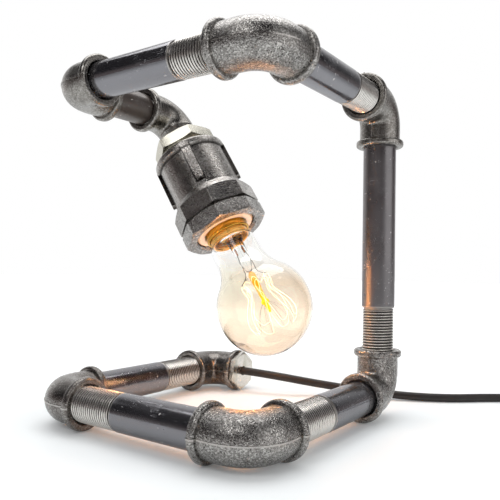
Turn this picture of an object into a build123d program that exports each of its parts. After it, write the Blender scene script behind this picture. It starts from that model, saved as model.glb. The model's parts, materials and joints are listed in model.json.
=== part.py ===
from build123d import *
import os
from math import acos, asin, cos, degrees, pi, radians, sin, tan

# Industrial table lamp made of half-inch iron pipe and cast fittings.
# Millimetres. +Z is up, the fittings of the base stand on Z = 0, and the origin is the
# middle of the base. +X runs from the left of the front pipe to its right and +Y runs
# from the front pipe to the back, so the bulb hangs over the middle of the base.

os.makedirs("parts", exist_ok=True)

# ---- pipework: distances between the corner points of the fittings -----------------
FRONT_SPAN = 144.0
BACK_SPAN = 147.0
SIDE_SPAN = 144.0
UPRIGHT_SPAN = 190.0
TOP_SIDE_SPAN = 139.0
TOP_FRONT_SPAN = 143.0
NIPPLE_SPAN = 86.0
HEAD_TILT = 33.0

# ---- half-inch pipe ----------------------------------------------------------------
PIPE_R = 10.65
PIPE_WALL = 2.65
THREAD_DEPTH = 0.175
PIPE_CHAMFER = 1.0
THREAD_FIT = 0.05
END_GAP = 0.5
SHORT_THREAD = 1.0

# length of bare thread that shows beyond the fitting at the long-threaded end
FRONT_PIPE_THREAD = 30.5
BACK_PIPE_THREAD = 33.0
SIDE_PIPE_THREAD = 38.0
UPRIGHT_THREAD = 28.5
TOP_SIDE_THREAD = 26.5
TOP_FRONT_THREAD = 27.0

# ---- cast elbow --------------------------------------------------------------------
ELBOW_REACH = 28.0
ELBOW_WALL = 2.575
BEAD_RISE = 2.3
BEAD_W = 4.6
BEAD_ROUND = 1.7
BEND_INNER = 1.9
MOUTH_CHAMFER = 1.4

# ---- street elbow at the head ------------------------------------------------------
STREET_RISE = 1.325
STREET_REACH = 37.0
STREET_GAP = 0.6

# ---- cord gland --------------------------------------------------------------------
GLAND_PLATE = 4.0
GLAND_LAND = 0.825
GLAND_STUB = 10.0
GLAND_HOLE_R = 3.55
GLAND_CHAMFER = 0.8
SEAL_LENGTH = 5.5
SEAL_SEAT = 2.0
SEAL_R = 6.9
SEAL_FIT = 0.1

# ---- reducing bush, placed along the head axis from the street elbow's corner --------
HEX_TOP = 24.4
HEX_HEIGHT = 8.3
HEX_CORNER_R = 22.6
HEX_TURN = 184.0
HEX_CHAMFER = 1.0
BUSH_PAD = 0.8
BUSH_PAD_RISE = 1.4
BUSH_SHOWING = 4.8
BUSH_THREAD_R = 16.6
BUSH_THREAD = 16.0
BUSH_RELIEF = 2.0

# ---- ribbed coupling with an octagon at its lower end ---------------------------------
COUPLING_LENGTH = 53.2
COUPLING_BEAD = 6.0
COUPLING_BEAD_RISE = 2.0
COUPLING_BEAD_ROUND = 2.2
BEAD_EASE = 1.6
BARREL_WALL = 3.05
RIB_W = 6.3
RIB_RISE = 2.0
RIB_STOP = 3.4
RIB_COUNT = 4
RIB_ANGLE = 147.0
FLARE_LENGTH = 6.2
OCTAGON_WALL = 3.3
OCTAGON_LENGTH = 11.5
OCTAGON_EDGE = 1.2
OCTAGON_CORNER = 0.8
MOUTH_DEPTH = 15.3
SEAT_DEPTH = 3.5
SEAT_STEP = 0.95
CHAMBER_LENGTH = 17.0
CHAMBER_FIT = 2.45
CHAMBER_CONE = 4.0

# ---- octagon bush ------------------------------------------------------------------
OCTAGON_GAP = 1.6
OCTAGON_HEIGHT = 10.2
BUSH_INSERT = 13.5
OPENING_FIT = 0.55
OPENING_CHAMFER = 1.45

# ---- porcelain lampholder and its metal parts --------------------------------------
SEAT_GAP = 0.3
PORCELAIN_R = 20.4
PORCELAIN_BACK = 11.5
PORCELAIN_STEP = 1.9
PORCELAIN_RECESS = 1.5
COLLAR_RISE = 2.2
CUP_BACK = 1.5
CUP_FIT = 0.3
SHELL_FIT = 0.4
SHELL_WALL = 0.6
SHELL_RIM = 0.8
SHELL_SHOWING = 2.3
CONTACT_T = 0.4
CONTACT_W = 5.0
CONTACT_SPRING = 2.8
SCREW_R = 1.5
SCREW_HEAD_R = 2.1
SCREW_HEAD = 1.5
SCREW_FIT = 0.1
TERMINAL_SIZE = 8.0
TERMINAL_HEIGHT = 6.0

# ---- bulb --------------------------------------------------------------------------
BULB_R = 31.2
BULB_LENGTH = 115.3
CAP_R = 13.3
CAP_WALL = 0.4
CAP_TIP = 4.2
CAP_MARGIN = 1.5
NECK_SWELL = 2.7
SHOULDER_DROP = 40.8
GLASS_WALL = 0.9
STEM_ROD_R = 1.4
CAGE_LENGTH = 31.0
CAGE_DROP = 10.2
CAGE_TOP_R = 9.0
CAGE_BOTTOM_R = 16.0
CAGE_LOOPS = 7
FILAMENT_R = 0.25
WIRE_R = 0.4

# ---- cord --------------------------------------------------------------------------
CORD_R = 2.9
FLEX_BEND_R = 24.0
SPLIT_GAP = 0.3
SWITCH_X = 193.0
SWITCH_Y = 107.0
SWITCH_LENGTH = 62.0
SWITCH_WIDTH = 25.0
SWITCH_HEIGHT = 18.0
SWITCH_AXIS = 8.5
SWITCH_CORNER = 7.0
WINDOW_LENGTH = 22.0
WINDOW_WIDTH = 13.0
ROCKER_FIT = 0.5
ROCKER_PIVOT = 12.0
ROCKER_TILT = 9.0
PIVOT_R = 1.2
PIVOT_FIT = 0.05
PIVOT_DEPTH = 1.6
COIL_R = 32.0
COIL_PITCH = 5.85
COIL_ROWS = 3
COIL_TURNS = 6.5
PLUG_AXIS = 18.5
PLUG_DRUM_R = 18.5
PLUG_RELIEF = 24.0
PLUG_GRIP = 48.0
PIN_R = 2.4
PIN_LENGTH = 19.0
PIN_X = 9.5
PIN_ROOT_R = 2.0
PIN_ROOT = 5.5

# ---- radii that follow from the pipe --------------------------------------------------
THREAD_R = PIPE_R - THREAD_DEPTH
SOCKET_R = THREAD_R + THREAD_FIT
PIPE_BORE_R = PIPE_R - PIPE_WALL
BODY_R = SOCKET_R + ELBOW_WALL
BEAD_R = BODY_R + BEAD_RISE
BEND_R = BODY_R + BEND_INNER
SOCKET_DEPTH = ELBOW_REACH - BEND_R
PIPE_INSET = ELBOW_REACH - SOCKET_DEPTH + END_GAP
STREET_R = THREAD_R + STREET_RISE
GLAND_FLATS = 2 * (SOCKET_R + MOUTH_CHAMFER + GLAND_LAND)
BUSH_PAD_R = BUSH_THREAD_R + BUSH_PAD_RISE
BUSH_RELIEF_R = SOCKET_R + BUSH_RELIEF

# ---- radii that follow from the bulb's cap and the porcelain -----------------------------
SHELL_R = CAP_R + SHELL_FIT + SHELL_WALL
CUP_R = SHELL_R + CUP_FIT
NEUTRAL_X = SHELL_R - SHELL_WALL - SCREW_HEAD_R - 0.2
SHELL_FLANGE_R = NEUTRAL_X - SCREW_HEAD_R - 0.1
LIVE_X = -(SHELL_FLANGE_R - SCREW_HEAD_R * 2)
THROAT_R = CAP_R - CAP_WALL - 0.2
NECK_R = THROAT_R + NECK_SWELL
COLLAR_R = PORCELAIN_R + COLLAR_RISE
PORCELAIN_TOP_R = PORCELAIN_R - PORCELAIN_STEP
CHAMBER_R = PORCELAIN_TOP_R + CHAMBER_FIT
BARREL_R = CHAMBER_R + BARREL_WALL
COUPLING_BEAD_R = BARREL_R + COUPLING_BEAD_RISE
RIB_R = BARREL_R + RIB_RISE
SEAT_R = COLLAR_R + SEAT_GAP
MOUTH_THREAD_R = SEAT_R + SEAT_STEP
OCTAGON_FLAT = MOUTH_THREAD_R + OCTAGON_WALL
OCTAGON_R = OCTAGON_FLAT / cos(pi / 8)
OPENING_R = PORCELAIN_R + OPENING_FIT

# ---- stations along the head axis ---------------------------------------------------------
HEX_END = HEX_TOP + HEX_HEIGHT
BUSH_END = HEX_END + BUSH_PAD + BUSH_THREAD
COUPLING_TOP = HEX_END + BUSH_SHOWING
COUPLING_END = COUPLING_TOP + COUPLING_LENGTH
FLARE_END = COUPLING_END - OCTAGON_LENGTH
FLARE_START = FLARE_END - FLARE_LENGTH
RIB_END = FLARE_START - RIB_STOP
SEAT = COUPLING_END - MOUTH_DEPTH
CHAMBER_START = SEAT - CHAMBER_LENGTH
OCTAGON_TOP = COUPLING_END + OCTAGON_GAP
OCTAGON_END = OCTAGON_TOP + OCTAGON_HEIGHT
BUSH_INNER_END = OCTAGON_TOP - BUSH_INSERT
COLLAR_TOP = SEAT + SEAT_GAP
COLLAR_END = BUSH_INNER_END - SEAT_GAP
PORCELAIN_TOP = SEAT - PORCELAIN_BACK
CUP_FLOOR = SEAT - CUP_BACK
CUP_END = OCTAGON_END - PORCELAIN_RECESS
SHELL_END = OCTAGON_END + SHELL_SHOWING
FLEX_END = STREET_REACH + 7.0
BULB_TIP = CUP_FLOOR + CONTACT_SPRING
CAP_START = BULB_TIP + CAP_TIP
CAP_END = SHELL_END - CAP_MARGIN
BULB_CENTRE = BULB_TIP + BULB_LENGTH - BULB_R
SHOULDER_S = BULB_CENTRE - SHOULDER_DROP
CAGE_BOTTOM = BULB_CENTRE + CAGE_DROP
CAGE_TOP = CAGE_BOTTOM - CAGE_LENGTH

# ---- corner points and directions of the pipework ------------------------------------
X = Vector(1, 0, 0)
Y = Vector(0, 1, 0)
Z = Vector(0, 0, 1)
FRONT_RIGHT = Vector(FRONT_SPAN / 2, -BACK_SPAN / 2, BEAD_R)
FRONT_LEFT = FRONT_RIGHT - X * FRONT_SPAN
BACK_LEFT = FRONT_LEFT + Y * BACK_SPAN
RISER = FRONT_RIGHT + Y * SIDE_SPAN
TOP_RISER = RISER + Z * UPRIGHT_SPAN
TOP_FRONT = TOP_RISER - Y * TOP_SIDE_SPAN
TOP_LEFT = TOP_FRONT - X * TOP_FRONT_SPAN
HEAD = TOP_LEFT + Y * NIPPLE_SPAN
HEAD_AXIS = X * sin(radians(HEAD_TILT)) - Z * cos(radians(HEAD_TILT))


def head_plane(station):
    """Plane square to the head axis, at a distance from the street elbow's corner."""
    return Plane(origin=HEAD + HEAD_AXIS * station, x_dir=Y, z_dir=HEAD_AXIS)


def head_point(side, across, station):
    """Point in the head, given by its two offsets from the axis and its station."""
    return HEAD + Y * side + HEAD_AXIS.cross(Y) * across + HEAD_AXIS * station


HEAD_LINE = Axis(HEAD, HEAD_AXIS)
HEAD_PROFILE = Plane(origin=HEAD, x_dir=Y, z_dir=Y.cross(HEAD_AXIS))


def circle_edges(part, radius):
    """The circular edges of a part that have the given radius."""
    edges = part.edges().filter_by(GeomType.CIRCLE)
    return edges.filter_by(lambda edge: abs(edge.radius - radius) < 0.005)


def save(part, name):
    """Label a finished piece and write it under its own name."""
    part.label = name
    export_step(part, f"parts/{name}.step")


def elbow(corner, leg_a, leg_b):
    """Cast elbow with two beaded, threaded mouths, its corner point in the middle."""
    place = Plane(origin=corner, x_dir=leg_a, z_dir=leg_a.cross(leg_b))
    mouth = Plane(origin=corner + leg_a * ELBOW_REACH, z_dir=leg_a)
    with BuildPart() as fitting:
        with BuildLine(place) as bend:
            FilletPolyline((ELBOW_REACH, 0), (0, 0), (0, ELBOW_REACH), radius=BEND_R)
        with BuildSketch(mouth):
            Circle(BODY_R)
        sweep(path=bend.wires()[0])
        for leg in (leg_a, leg_b):
            with BuildSketch(Plane(origin=corner + leg * ELBOW_REACH, z_dir=leg)):
                Circle(BEAD_R)
            extrude(amount=-BEAD_W)
        fillet(circle_edges(fitting, BEAD_R), radius=BEAD_ROUND)
        with BuildSketch(mouth):
            Circle(PIPE_BORE_R)
        sweep(path=bend.wires()[0], mode=Mode.SUBTRACT)
        for leg in (leg_a, leg_b):
            with BuildSketch(Plane(origin=corner + leg * ELBOW_REACH, z_dir=leg)):
                Circle(SOCKET_R)
            extrude(amount=-SOCKET_DEPTH, mode=Mode.SUBTRACT)
        mouths = circle_edges(fitting, SOCKET_R)
        chamfer(mouths.filter_by(lambda e: at_mouth(e, corner)), length=MOUTH_CHAMFER)
    return fitting.part


def at_mouth(edge, corner):
    """True for an edge on the open face of a fitting."""
    return (edge.arc_center - corner).length > ELBOW_REACH - 0.01


def pipe(start, end, long_thread):
    """Pipe between two corner points, long-threaded at the start, short at the end."""
    along = (end - start).normalized()
    span = (end - start).length
    body_start = ELBOW_REACH + long_thread
    body_end = span - ELBOW_REACH + SHORT_THREAD
    with BuildPart() as tube:
        with BuildSketch(Plane(origin=start + along * PIPE_INSET, z_dir=along)):
            Circle(THREAD_R)
        extrude(amount=span - 2 * PIPE_INSET)
        chamfer(circle_edges(tube, THREAD_R), length=PIPE_CHAMFER)
        with BuildSketch(Plane(origin=start + along * body_start, z_dir=along)):
            Circle(PIPE_R)
        extrude(amount=body_end - body_start)
        with BuildSketch(Plane(origin=start, z_dir=along)):
            Circle(PIPE_BORE_R)
        extrude(amount=span, mode=Mode.SUBTRACT)
    return tube.part


def cord_run(points, radii, radius=CORD_R):
    """Round flex along straight runs joined by tangent arcs."""
    with BuildPart() as run:
        with BuildLine() as route:
            FilletPolyline(*points, radius=radii)
        wire = route.wires()[0]
        with BuildSketch(Plane(origin=wire @ 0, z_dir=wire % 0)):
            Circle(radius)
        sweep(path=wire)
    return run.part


def easy_radii(points):
    """The widest arc that each corner of a loose cord has room for."""
    spots = [Vector(*p) for p in points]
    radii = []
    for before, here, after in zip(spots, spots[1:], spots[2:]):
        run_in = here - before
        run_out = after - here
        turn = radians(run_in.get_angle(run_out))
        radii.append(0.45 * min(run_in.length, run_out.length) / tan(turn / 2))
    return radii


# ======================================================================================
# base: five fittings, three pipes and the gland that the cord comes out of
# ======================================================================================
save(elbow(BACK_LEFT, -Y, X), "back_left_elbow")
save(elbow(FRONT_LEFT, X, Y), "left_elbow")
save(elbow(FRONT_RIGHT, -X, Y), "front_elbow")
save(elbow(RISER, -Y, Z), "base_riser_elbow")
save(pipe(BACK_LEFT, FRONT_LEFT, BACK_PIPE_THREAD), "back_pipe")
save(pipe(FRONT_LEFT, FRONT_RIGHT, FRONT_PIPE_THREAD), "front_pipe")
save(pipe(FRONT_RIGHT, RISER, SIDE_PIPE_THREAD), "side_pipe")

GLAND_FACE = BACK_LEFT + X * (ELBOW_REACH + GLAND_PLATE)

with BuildPart() as cord_gland:
    with BuildSketch(Plane(origin=BACK_LEFT + X * ELBOW_REACH, x_dir=Y, z_dir=X)):
        RegularPolygon(GLAND_FLATS / 2, 6, major_radius=False, rotation=22)
    extrude(amount=GLAND_PLATE)
    # both faces of the hexagon are turned down at the corners
    with BuildSketch(Plane(origin=BACK_LEFT, x_dir=X, z_dir=-Y)) as turning:
        with BuildLine():
            Polyline(
                (ELBOW_REACH, GLAND_FLATS / 2 - 0.3),
                (ELBOW_REACH + GLAND_CHAMFER, GLAND_FLATS / 2 + 1.0),
                (ELBOW_REACH + GLAND_CHAMFER, GLAND_FLATS),
                (ELBOW_REACH - 1, GLAND_FLATS),
                (ELBOW_REACH - 1, GLAND_FLATS / 2 - 0.3),
                close=True,
            )
        make_face()
        with BuildLine():
            Polyline(
                (ELBOW_REACH + GLAND_PLATE, GLAND_FLATS / 2 - 0.3),
                (ELBOW_REACH + GLAND_PLATE - GLAND_CHAMFER, GLAND_FLATS / 2 + 1.0),
                (ELBOW_REACH + GLAND_PLATE - GLAND_CHAMFER, GLAND_FLATS),
                (ELBOW_REACH + GLAND_PLATE + 1, GLAND_FLATS),
                (ELBOW_REACH + GLAND_PLATE + 1, GLAND_FLATS / 2 - 0.3),
                close=True,
            )
        make_face()
    revolve(axis=Axis(BACK_LEFT, X), mode=Mode.SUBTRACT)
    with BuildSketch(Plane(origin=BACK_LEFT + X * ELBOW_REACH, z_dir=-X)):
        Circle(THREAD_R)
    extrude(amount=GLAND_STUB)
    stub_end = circle_edges(cord_gland, THREAD_R).sort_by(Axis.X)[0]
    chamfer(stub_end, length=PIPE_CHAMFER)
    with BuildSketch(Plane(origin=GLAND_FACE, z_dir=-X)):
        Circle(GLAND_HOLE_R)
    extrude(amount=GLAND_PLATE + GLAND_STUB, mode=Mode.SUBTRACT)
    with BuildSketch(Plane(origin=GLAND_FACE - X * SEAL_SEAT, z_dir=-X)):
        Circle(SEAL_R + SEAL_FIT)
    extrude(amount=GLAND_PLATE + GLAND_STUB, mode=Mode.SUBTRACT)
save(cord_gland.part, "cord_gland")

with BuildPart() as gland_seal:
    with BuildSketch(Plane(origin=GLAND_FACE - X * SEAL_SEAT, z_dir=-X)):
        Circle(SEAL_R)
        Circle(CORD_R + SEAL_FIT, mode=Mode.SUBTRACT)
    extrude(amount=SEAL_LENGTH)
save(gland_seal.part, "gland_seal")

# the flex inside the base, up to the joint where the upright turns
flex_turn = RISER + Z * (ELBOW_REACH - 2)
flex_base = cord_run(
    [GLAND_FACE, BACK_LEFT, FRONT_LEFT, FRONT_RIGHT, RISER, flex_turn], FLEX_BEND_R
)
save(flex_base, "flex_base")

# ======================================================================================
# arm: the upright and the two top pipes, turning together in the base's rear elbow
# ======================================================================================
save(pipe(RISER, TOP_RISER, UPRIGHT_THREAD), "upright_pipe")
save(elbow(TOP_RISER, -Z, -Y), "top_corner_elbow")
save(pipe(TOP_RISER, TOP_FRONT, TOP_SIDE_THREAD), "top_side_pipe")
save(elbow(TOP_FRONT, Y, -X), "top_front_elbow")
save(pipe(TOP_FRONT, TOP_LEFT, TOP_FRONT_THREAD), "top_front_pipe")
save(elbow(TOP_LEFT, X, Y), "top_left_elbow")
save(pipe(TOP_LEFT, HEAD, -SHORT_THREAD), "head_nipple")

flex_arm = cord_run(
    [
        flex_turn + Z * SPLIT_GAP,
        TOP_RISER,
        TOP_FRONT,
        TOP_LEFT,
        HEAD - Y * (ELBOW_REACH - 2 + SPLIT_GAP),
    ],
    FLEX_BEND_R,
)
save(flex_arm, "flex_arm")

# ======================================================================================
# head: everything that turns on the nipple
# ======================================================================================
with BuildPart() as street_elbow:
    with BuildLine(Plane(origin=HEAD, x_dir=-Y, z_dir=HEAD_AXIS.cross(Y))) as bend:
        FilletPolyline((ELBOW_REACH, 0), (0, 0), (0, BEND_R + 1), radius=BEND_R)
    mouth = Plane(origin=HEAD - Y * ELBOW_REACH, z_dir=-Y)
    with BuildSketch(mouth):
        Circle(BODY_R)
    sweep(path=bend.wires()[0])
    with BuildSketch(mouth):
        Circle(BEAD_R)
    extrude(amount=-BEAD_W)
    fillet(circle_edges(street_elbow, BEAD_R), radius=BEAD_ROUND)
    # male leg: it tapers to the thread that screws into the reducing bush
    with BuildSketch(HEAD_PROFILE):
        with BuildLine():
            Polyline(
                (0, BEND_R),
                (BODY_R, BEND_R),
                (BODY_R, BEND_R + 1),
                (STREET_R, HEX_TOP - 4),
                (STREET_R, HEX_TOP - STREET_GAP),
                (THREAD_R, HEX_TOP - STREET_GAP),
                (THREAD_R, STREET_REACH - PIPE_CHAMFER),
                (THREAD_R - PIPE_CHAMFER, STREET_REACH),
                (0, STREET_REACH),
                close=True,
            )
        make_face()
    revolve(axis=HEAD_LINE)
    with BuildLine(Plane(origin=HEAD, x_dir=-Y, z_dir=HEAD_AXIS.cross(Y))) as way:
        FilletPolyline((ELBOW_REACH, 0), (0, 0), (0, STREET_REACH), radius=BEND_R)
    with BuildSketch(mouth):
        Circle(PIPE_BORE_R)
    sweep(path=way.wires()[0], mode=Mode.SUBTRACT)
    with BuildSketch(mouth):
        Circle(SOCKET_R)
    extrude(amount=-SOCKET_DEPTH, mode=Mode.SUBTRACT)
    mouths = circle_edges(street_elbow, SOCKET_R)
    chamfer(mouths.filter_by(lambda e: at_mouth(e, HEAD)), length=MOUTH_CHAMFER)
save(street_elbow.part, "street_elbow")

with BuildPart() as head_hex_bush:
    with BuildSketch(head_plane(HEX_TOP)):
        RegularPolygon(HEX_CORNER_R, 6, rotation=HEX_TURN)
    extrude(amount=HEX_HEIGHT)
    # the hexagon's corners are turned down at both ends
    flat_r = HEX_CORNER_R * cos(pi / 6)
    with BuildSketch(HEAD_PROFILE):
        with BuildLine():
            Polyline(
                (flat_r + 0.5, HEX_TOP),
                (HEX_CORNER_R + 1, HEX_TOP),
                (HEX_CORNER_R + 1, HEX_TOP + HEX_CHAMFER * 1.4),
                close=True,
            )
        make_face()
        with BuildLine():
            Polyline(
                (flat_r + 0.5, HEX_END),
                (HEX_CORNER_R + 1, HEX_END),
                (HEX_CORNER_R + 1, HEX_END - HEX_CHAMFER * 1.4),
                close=True,
            )
        make_face()
    revolve(axis=HEAD_LINE, mode=Mode.SUBTRACT)
    with BuildSketch(HEAD_PROFILE):
        with BuildLine():
            Polyline(
                (0, HEX_END - 1),
                (BUSH_PAD_R, HEX_END - 1),
                (BUSH_PAD_R, HEX_END + BUSH_PAD),
                (BUSH_THREAD_R, HEX_END + BUSH_PAD),
                (BUSH_THREAD_R, BUSH_END - PIPE_CHAMFER),
                (BUSH_THREAD_R - PIPE_CHAMFER, BUSH_END),
                (0, BUSH_END),
                close=True,
            )
        make_face()
    revolve(axis=HEAD_LINE)
    with BuildSketch(HEAD_PROFILE):
        with BuildLine():
            Polyline(
                (0, HEX_TOP),
                (SOCKET_R + MOUTH_CHAMFER, HEX_TOP),
                (SOCKET_R, HEX_TOP + MOUTH_CHAMFER),
                (SOCKET_R, STREET_REACH + 1.5),
                (BUSH_RELIEF_R, STREET_REACH + 3.5),
                (BUSH_RELIEF_R, BUSH_END),
                (0, BUSH_END),
                close=True,
            )
        make_face()
    revolve(axis=HEAD_LINE, mode=Mode.SUBTRACT)
save(head_hex_bush.part, "head_hex_bush")

EARTH_STATION = CHAMBER_START + 2.5

with BuildPart() as ribbed_coupling:
    # barrel and flare, turned about the head axis
    with BuildSketch(HEAD_PROFILE):
        with BuildLine():
            Polyline(
                (0, COUPLING_TOP),
                (BARREL_R, COUPLING_TOP),
                (BARREL_R, FLARE_START),
                (OCTAGON_FLAT, FLARE_END),
                (0, FLARE_END),
                close=True,
            )
        make_face()
    revolve(axis=HEAD_LINE)
    # octagon for a spanner, its top corners drawn down into the flare
    with BuildSketch(head_plane(FLARE_END - 1)) as coupling_octagon:
        RegularPolygon(OCTAGON_R, 8, rotation=RIB_ANGLE)
        fillet(coupling_octagon.vertices(), radius=OCTAGON_CORNER)
    extrude(amount=COUPLING_END - FLARE_END + 1)
    with BuildSketch(HEAD_PROFILE):
        with BuildLine():
            Polyline(
                (OCTAGON_FLAT - 0.4, FLARE_END - 1.01),
                (OCTAGON_R + 1, FLARE_END - 1.01),
                (OCTAGON_R + 1, FLARE_END + 1.4),
                close=True,
            )
        make_face()
    revolve(axis=HEAD_LINE, mode=Mode.SUBTRACT)
    # rolled bead round the top, full at its upper edge and easing into the barrel below
    bead_end = COUPLING_TOP + COUPLING_BEAD
    with BuildSketch(head_plane(COUPLING_TOP)):
        Circle(COUPLING_BEAD_R)
    extrude(amount=COUPLING_BEAD - BEAD_EASE)
    fillet(
        circle_edges(ribbed_coupling, COUPLING_BEAD_R).sort_by(HEAD_LINE)[0],
        radius=COUPLING_BEAD_ROUND,
    )
    with BuildSketch(HEAD_PROFILE):
        with BuildLine():
            Polyline(
                (BARREL_R - 1, bead_end - BEAD_EASE),
                (COUPLING_BEAD_R, bead_end - BEAD_EASE),
                (BARREL_R, bead_end),
                (BARREL_R - 1, bead_end),
                close=True,
            )
        make_face()
    revolve(axis=HEAD_LINE)
    # wrench ribs down the barrel
    rib_start = COUPLING_TOP + COUPLING_BEAD / 2
    rib_round = RIB_END - RIB_W / 2
    for turn in range(RIB_COUNT):
        angle = radians(RIB_ANGLE + 360 / RIB_COUNT * turn)
        out = Y * cos(angle) + HEAD_AXIS.cross(Y) * sin(angle)
        side = HEAD_AXIS.cross(out)
        with BuildSketch(Plane(origin=HEAD + out * (BARREL_R - 1), x_dir=side, z_dir=out)):
            with Locations((0, (rib_start + rib_round) / 2)):
                Rectangle(RIB_W, rib_round - rib_start)
            with Locations((0, rib_round)):
                Circle(RIB_W / 2)
        extrude(amount=RIB_R - BARREL_R + 1)
    # inside: top thread, chamber, seat for the porcelain and the wide mouth thread
    with BuildSketch(HEAD_PROFILE):
        with BuildLine():
            Polyline(
                (0, COUPLING_TOP),
                (BUSH_THREAD_R + THREAD_FIT + MOUTH_CHAMFER, COUPLING_TOP),
                (BUSH_THREAD_R + THREAD_FIT, COUPLING_TOP + MOUTH_CHAMFER),
                (BUSH_THREAD_R + THREAD_FIT, CHAMBER_START - CHAMBER_CONE),
                (CHAMBER_R, CHAMBER_START),
                (CHAMBER_R, SEAT),
                (SEAT_R, SEAT),
                (SEAT_R, SEAT + SEAT_DEPTH),
                (MOUTH_THREAD_R + THREAD_FIT, SEAT + SEAT_DEPTH),
                (MOUTH_THREAD_R + THREAD_FIT, COUPLING_END),
                (0, COUPLING_END),
                close=True,
            )
        make_face()
    revolve(axis=HEAD_LINE, mode=Mode.SUBTRACT)
    # blind tapped hole for the earth screw
    with BuildSketch(
        Plane(origin=head_point(0, CHAMBER_R - 1, EARTH_STATION), z_dir=HEAD_AXIS.cross(Y))
    ):
        Circle(SCREW_R + SCREW_FIT)
    extrude(amount=3.2, mode=Mode.SUBTRACT)
save(ribbed_coupling.part, "ribbed_coupling")

with BuildPart() as octagon_bush:
    with BuildSketch(head_plane(OCTAGON_TOP)) as bush_octagon:
        RegularPolygon(OCTAGON_R, 8, rotation=RIB_ANGLE)
        fillet(bush_octagon.vertices(), radius=OCTAGON_CORNER)
    extrude(amount=OCTAGON_HEIGHT)
    # the octagon's corners are turned down at both faces
    with BuildSketch(HEAD_PROFILE):
        with BuildLine():
            Polyline(
                (OCTAGON_R - 1.9, OCTAGON_TOP),
                (OCTAGON_R + 1, OCTAGON_TOP),
                (OCTAGON_R + 1, OCTAGON_TOP + OCTAGON_EDGE * 1.3),
                close=True,
            )
        make_face()
        with BuildLine():
            Polyline(
                (OCTAGON_R - 1.9, OCTAGON_END),
                (OCTAGON_R + 1, OCTAGON_END),
                (OCTAGON_R + 1, OCTAGON_END - OCTAGON_EDGE * 1.3),
                close=True,
            )
        make_face()
    revolve(axis=HEAD_LINE, mode=Mode.SUBTRACT)
    with BuildSketch(HEAD_PROFILE):
        with BuildLine():
            Polyline(
                (0, BUSH_INNER_END),
                (MOUTH_THREAD_R - PIPE_CHAMFER, BUSH_INNER_END),
                (MOUTH_THREAD_R, BUSH_INNER_END + PIPE_CHAMFER),
                (MOUTH_THREAD_R, OCTAGON_TOP + 1),
                (0, OCTAGON_TOP + 1),
                close=True,
            )
        make_face()
    revolve(axis=HEAD_LINE)
    with BuildSketch(HEAD_PROFILE):
        with BuildLine():
            Polyline(
                (0, BUSH_INNER_END),
                (OPENING_R, BUSH_INNER_END),
                (OPENING_R, OCTAGON_END - OPENING_CHAMFER),
                (OPENING_R + OPENING_CHAMFER, OCTAGON_END),
                (0, OCTAGON_END),
                close=True,
            )
        make_face()
    revolve(axis=HEAD_LINE, mode=Mode.SUBTRACT)
save(octagon_bush.part, "octagon_bush")

# ---- porcelain lampholder: a collar clamped between coupling and octagon bush --------
with BuildPart() as lampholder_porcelain:
    with BuildSketch(HEAD_PROFILE):
        with BuildLine():
            Polyline(
                (0, PORCELAIN_TOP),
                (PORCELAIN_TOP_R - 1, PORCELAIN_TOP),
                (PORCELAIN_TOP_R, PORCELAIN_TOP + 1),
                (PORCELAIN_TOP_R, COLLAR_TOP),
                (COLLAR_R, COLLAR_TOP),
                (COLLAR_R, COLLAR_END),
                (PORCELAIN_R, COLLAR_END),
                (PORCELAIN_R, CUP_END - 1),
                (PORCELAIN_R - 1, CUP_END),
                (CUP_R + 1.2, CUP_END),
                (CUP_R, CUP_END - 1.2),
                (CUP_R, CUP_FLOOR),
                (0, CUP_FLOOR),
                close=True,
            )
        make_face()
    revolve(axis=HEAD_LINE)
    with BuildSketch(head_plane(PORCELAIN_TOP)):
        with Locations((LIVE_X, 0), (NEUTRAL_X, 0)):
            Circle(SCREW_R + SCREW_FIT)
    extrude(amount=CUP_FLOOR - PORCELAIN_TOP, mode=Mode.SUBTRACT)
save(lampholder_porcelain.part, "lampholder_porcelain")

with BuildPart() as screw_shell:
    with BuildSketch(HEAD_PROFILE):
        with BuildLine():
            Polyline(
                (SHELL_FLANGE_R, CUP_FLOOR),
                (SHELL_R, CUP_FLOOR),
                (SHELL_R, SHELL_END),
                (SHELL_R - SHELL_WALL, SHELL_END),
                (SHELL_R - SHELL_WALL, CUP_FLOOR + SHELL_WALL),
                (SHELL_FLANGE_R, CUP_FLOOR + SHELL_WALL),
                close=True,
            )
        make_face()
        with Locations((SHELL_R - SHELL_WALL + SHELL_RIM, SHELL_END)):
            Circle(SHELL_RIM)
    revolve(axis=HEAD_LINE)
    with BuildSketch(head_plane(CUP_FLOOR - 1)):
        with Locations((NEUTRAL_X, 0)):
            Circle(SCREW_R + SCREW_FIT)
    extrude(amount=2, mode=Mode.SUBTRACT)
save(screw_shell.part, "screw_shell")

with BuildPart() as centre_contact:
    with BuildSketch(HEAD_PROFILE):
        with BuildLine():
            Polyline(
                (LIVE_X - CONTACT_W / 2, CUP_FLOOR),
                (-2.2, CUP_FLOOR),
                (1.0, BULB_TIP - 0.1 - CONTACT_T),
                (4.5, BULB_TIP - 0.1 - CONTACT_T),
                (4.5, BULB_TIP - 0.1),
                (0.8, BULB_TIP - 0.1),
                (-2.4, CUP_FLOOR + CONTACT_T),
                (LIVE_X - CONTACT_W / 2, CUP_FLOOR + CONTACT_T),
                close=True,
            )
        make_face()
    extrude(amount=CONTACT_W / 2, both=True)
    with BuildSketch(head_plane(CUP_FLOOR - 1)):
        with Locations((LIVE_X, 0)):
            Circle(SCREW_R + SCREW_FIT)
    extrude(amount=2, mode=Mode.SUBTRACT)
save(centre_contact.part, "centre_contact")


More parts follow.
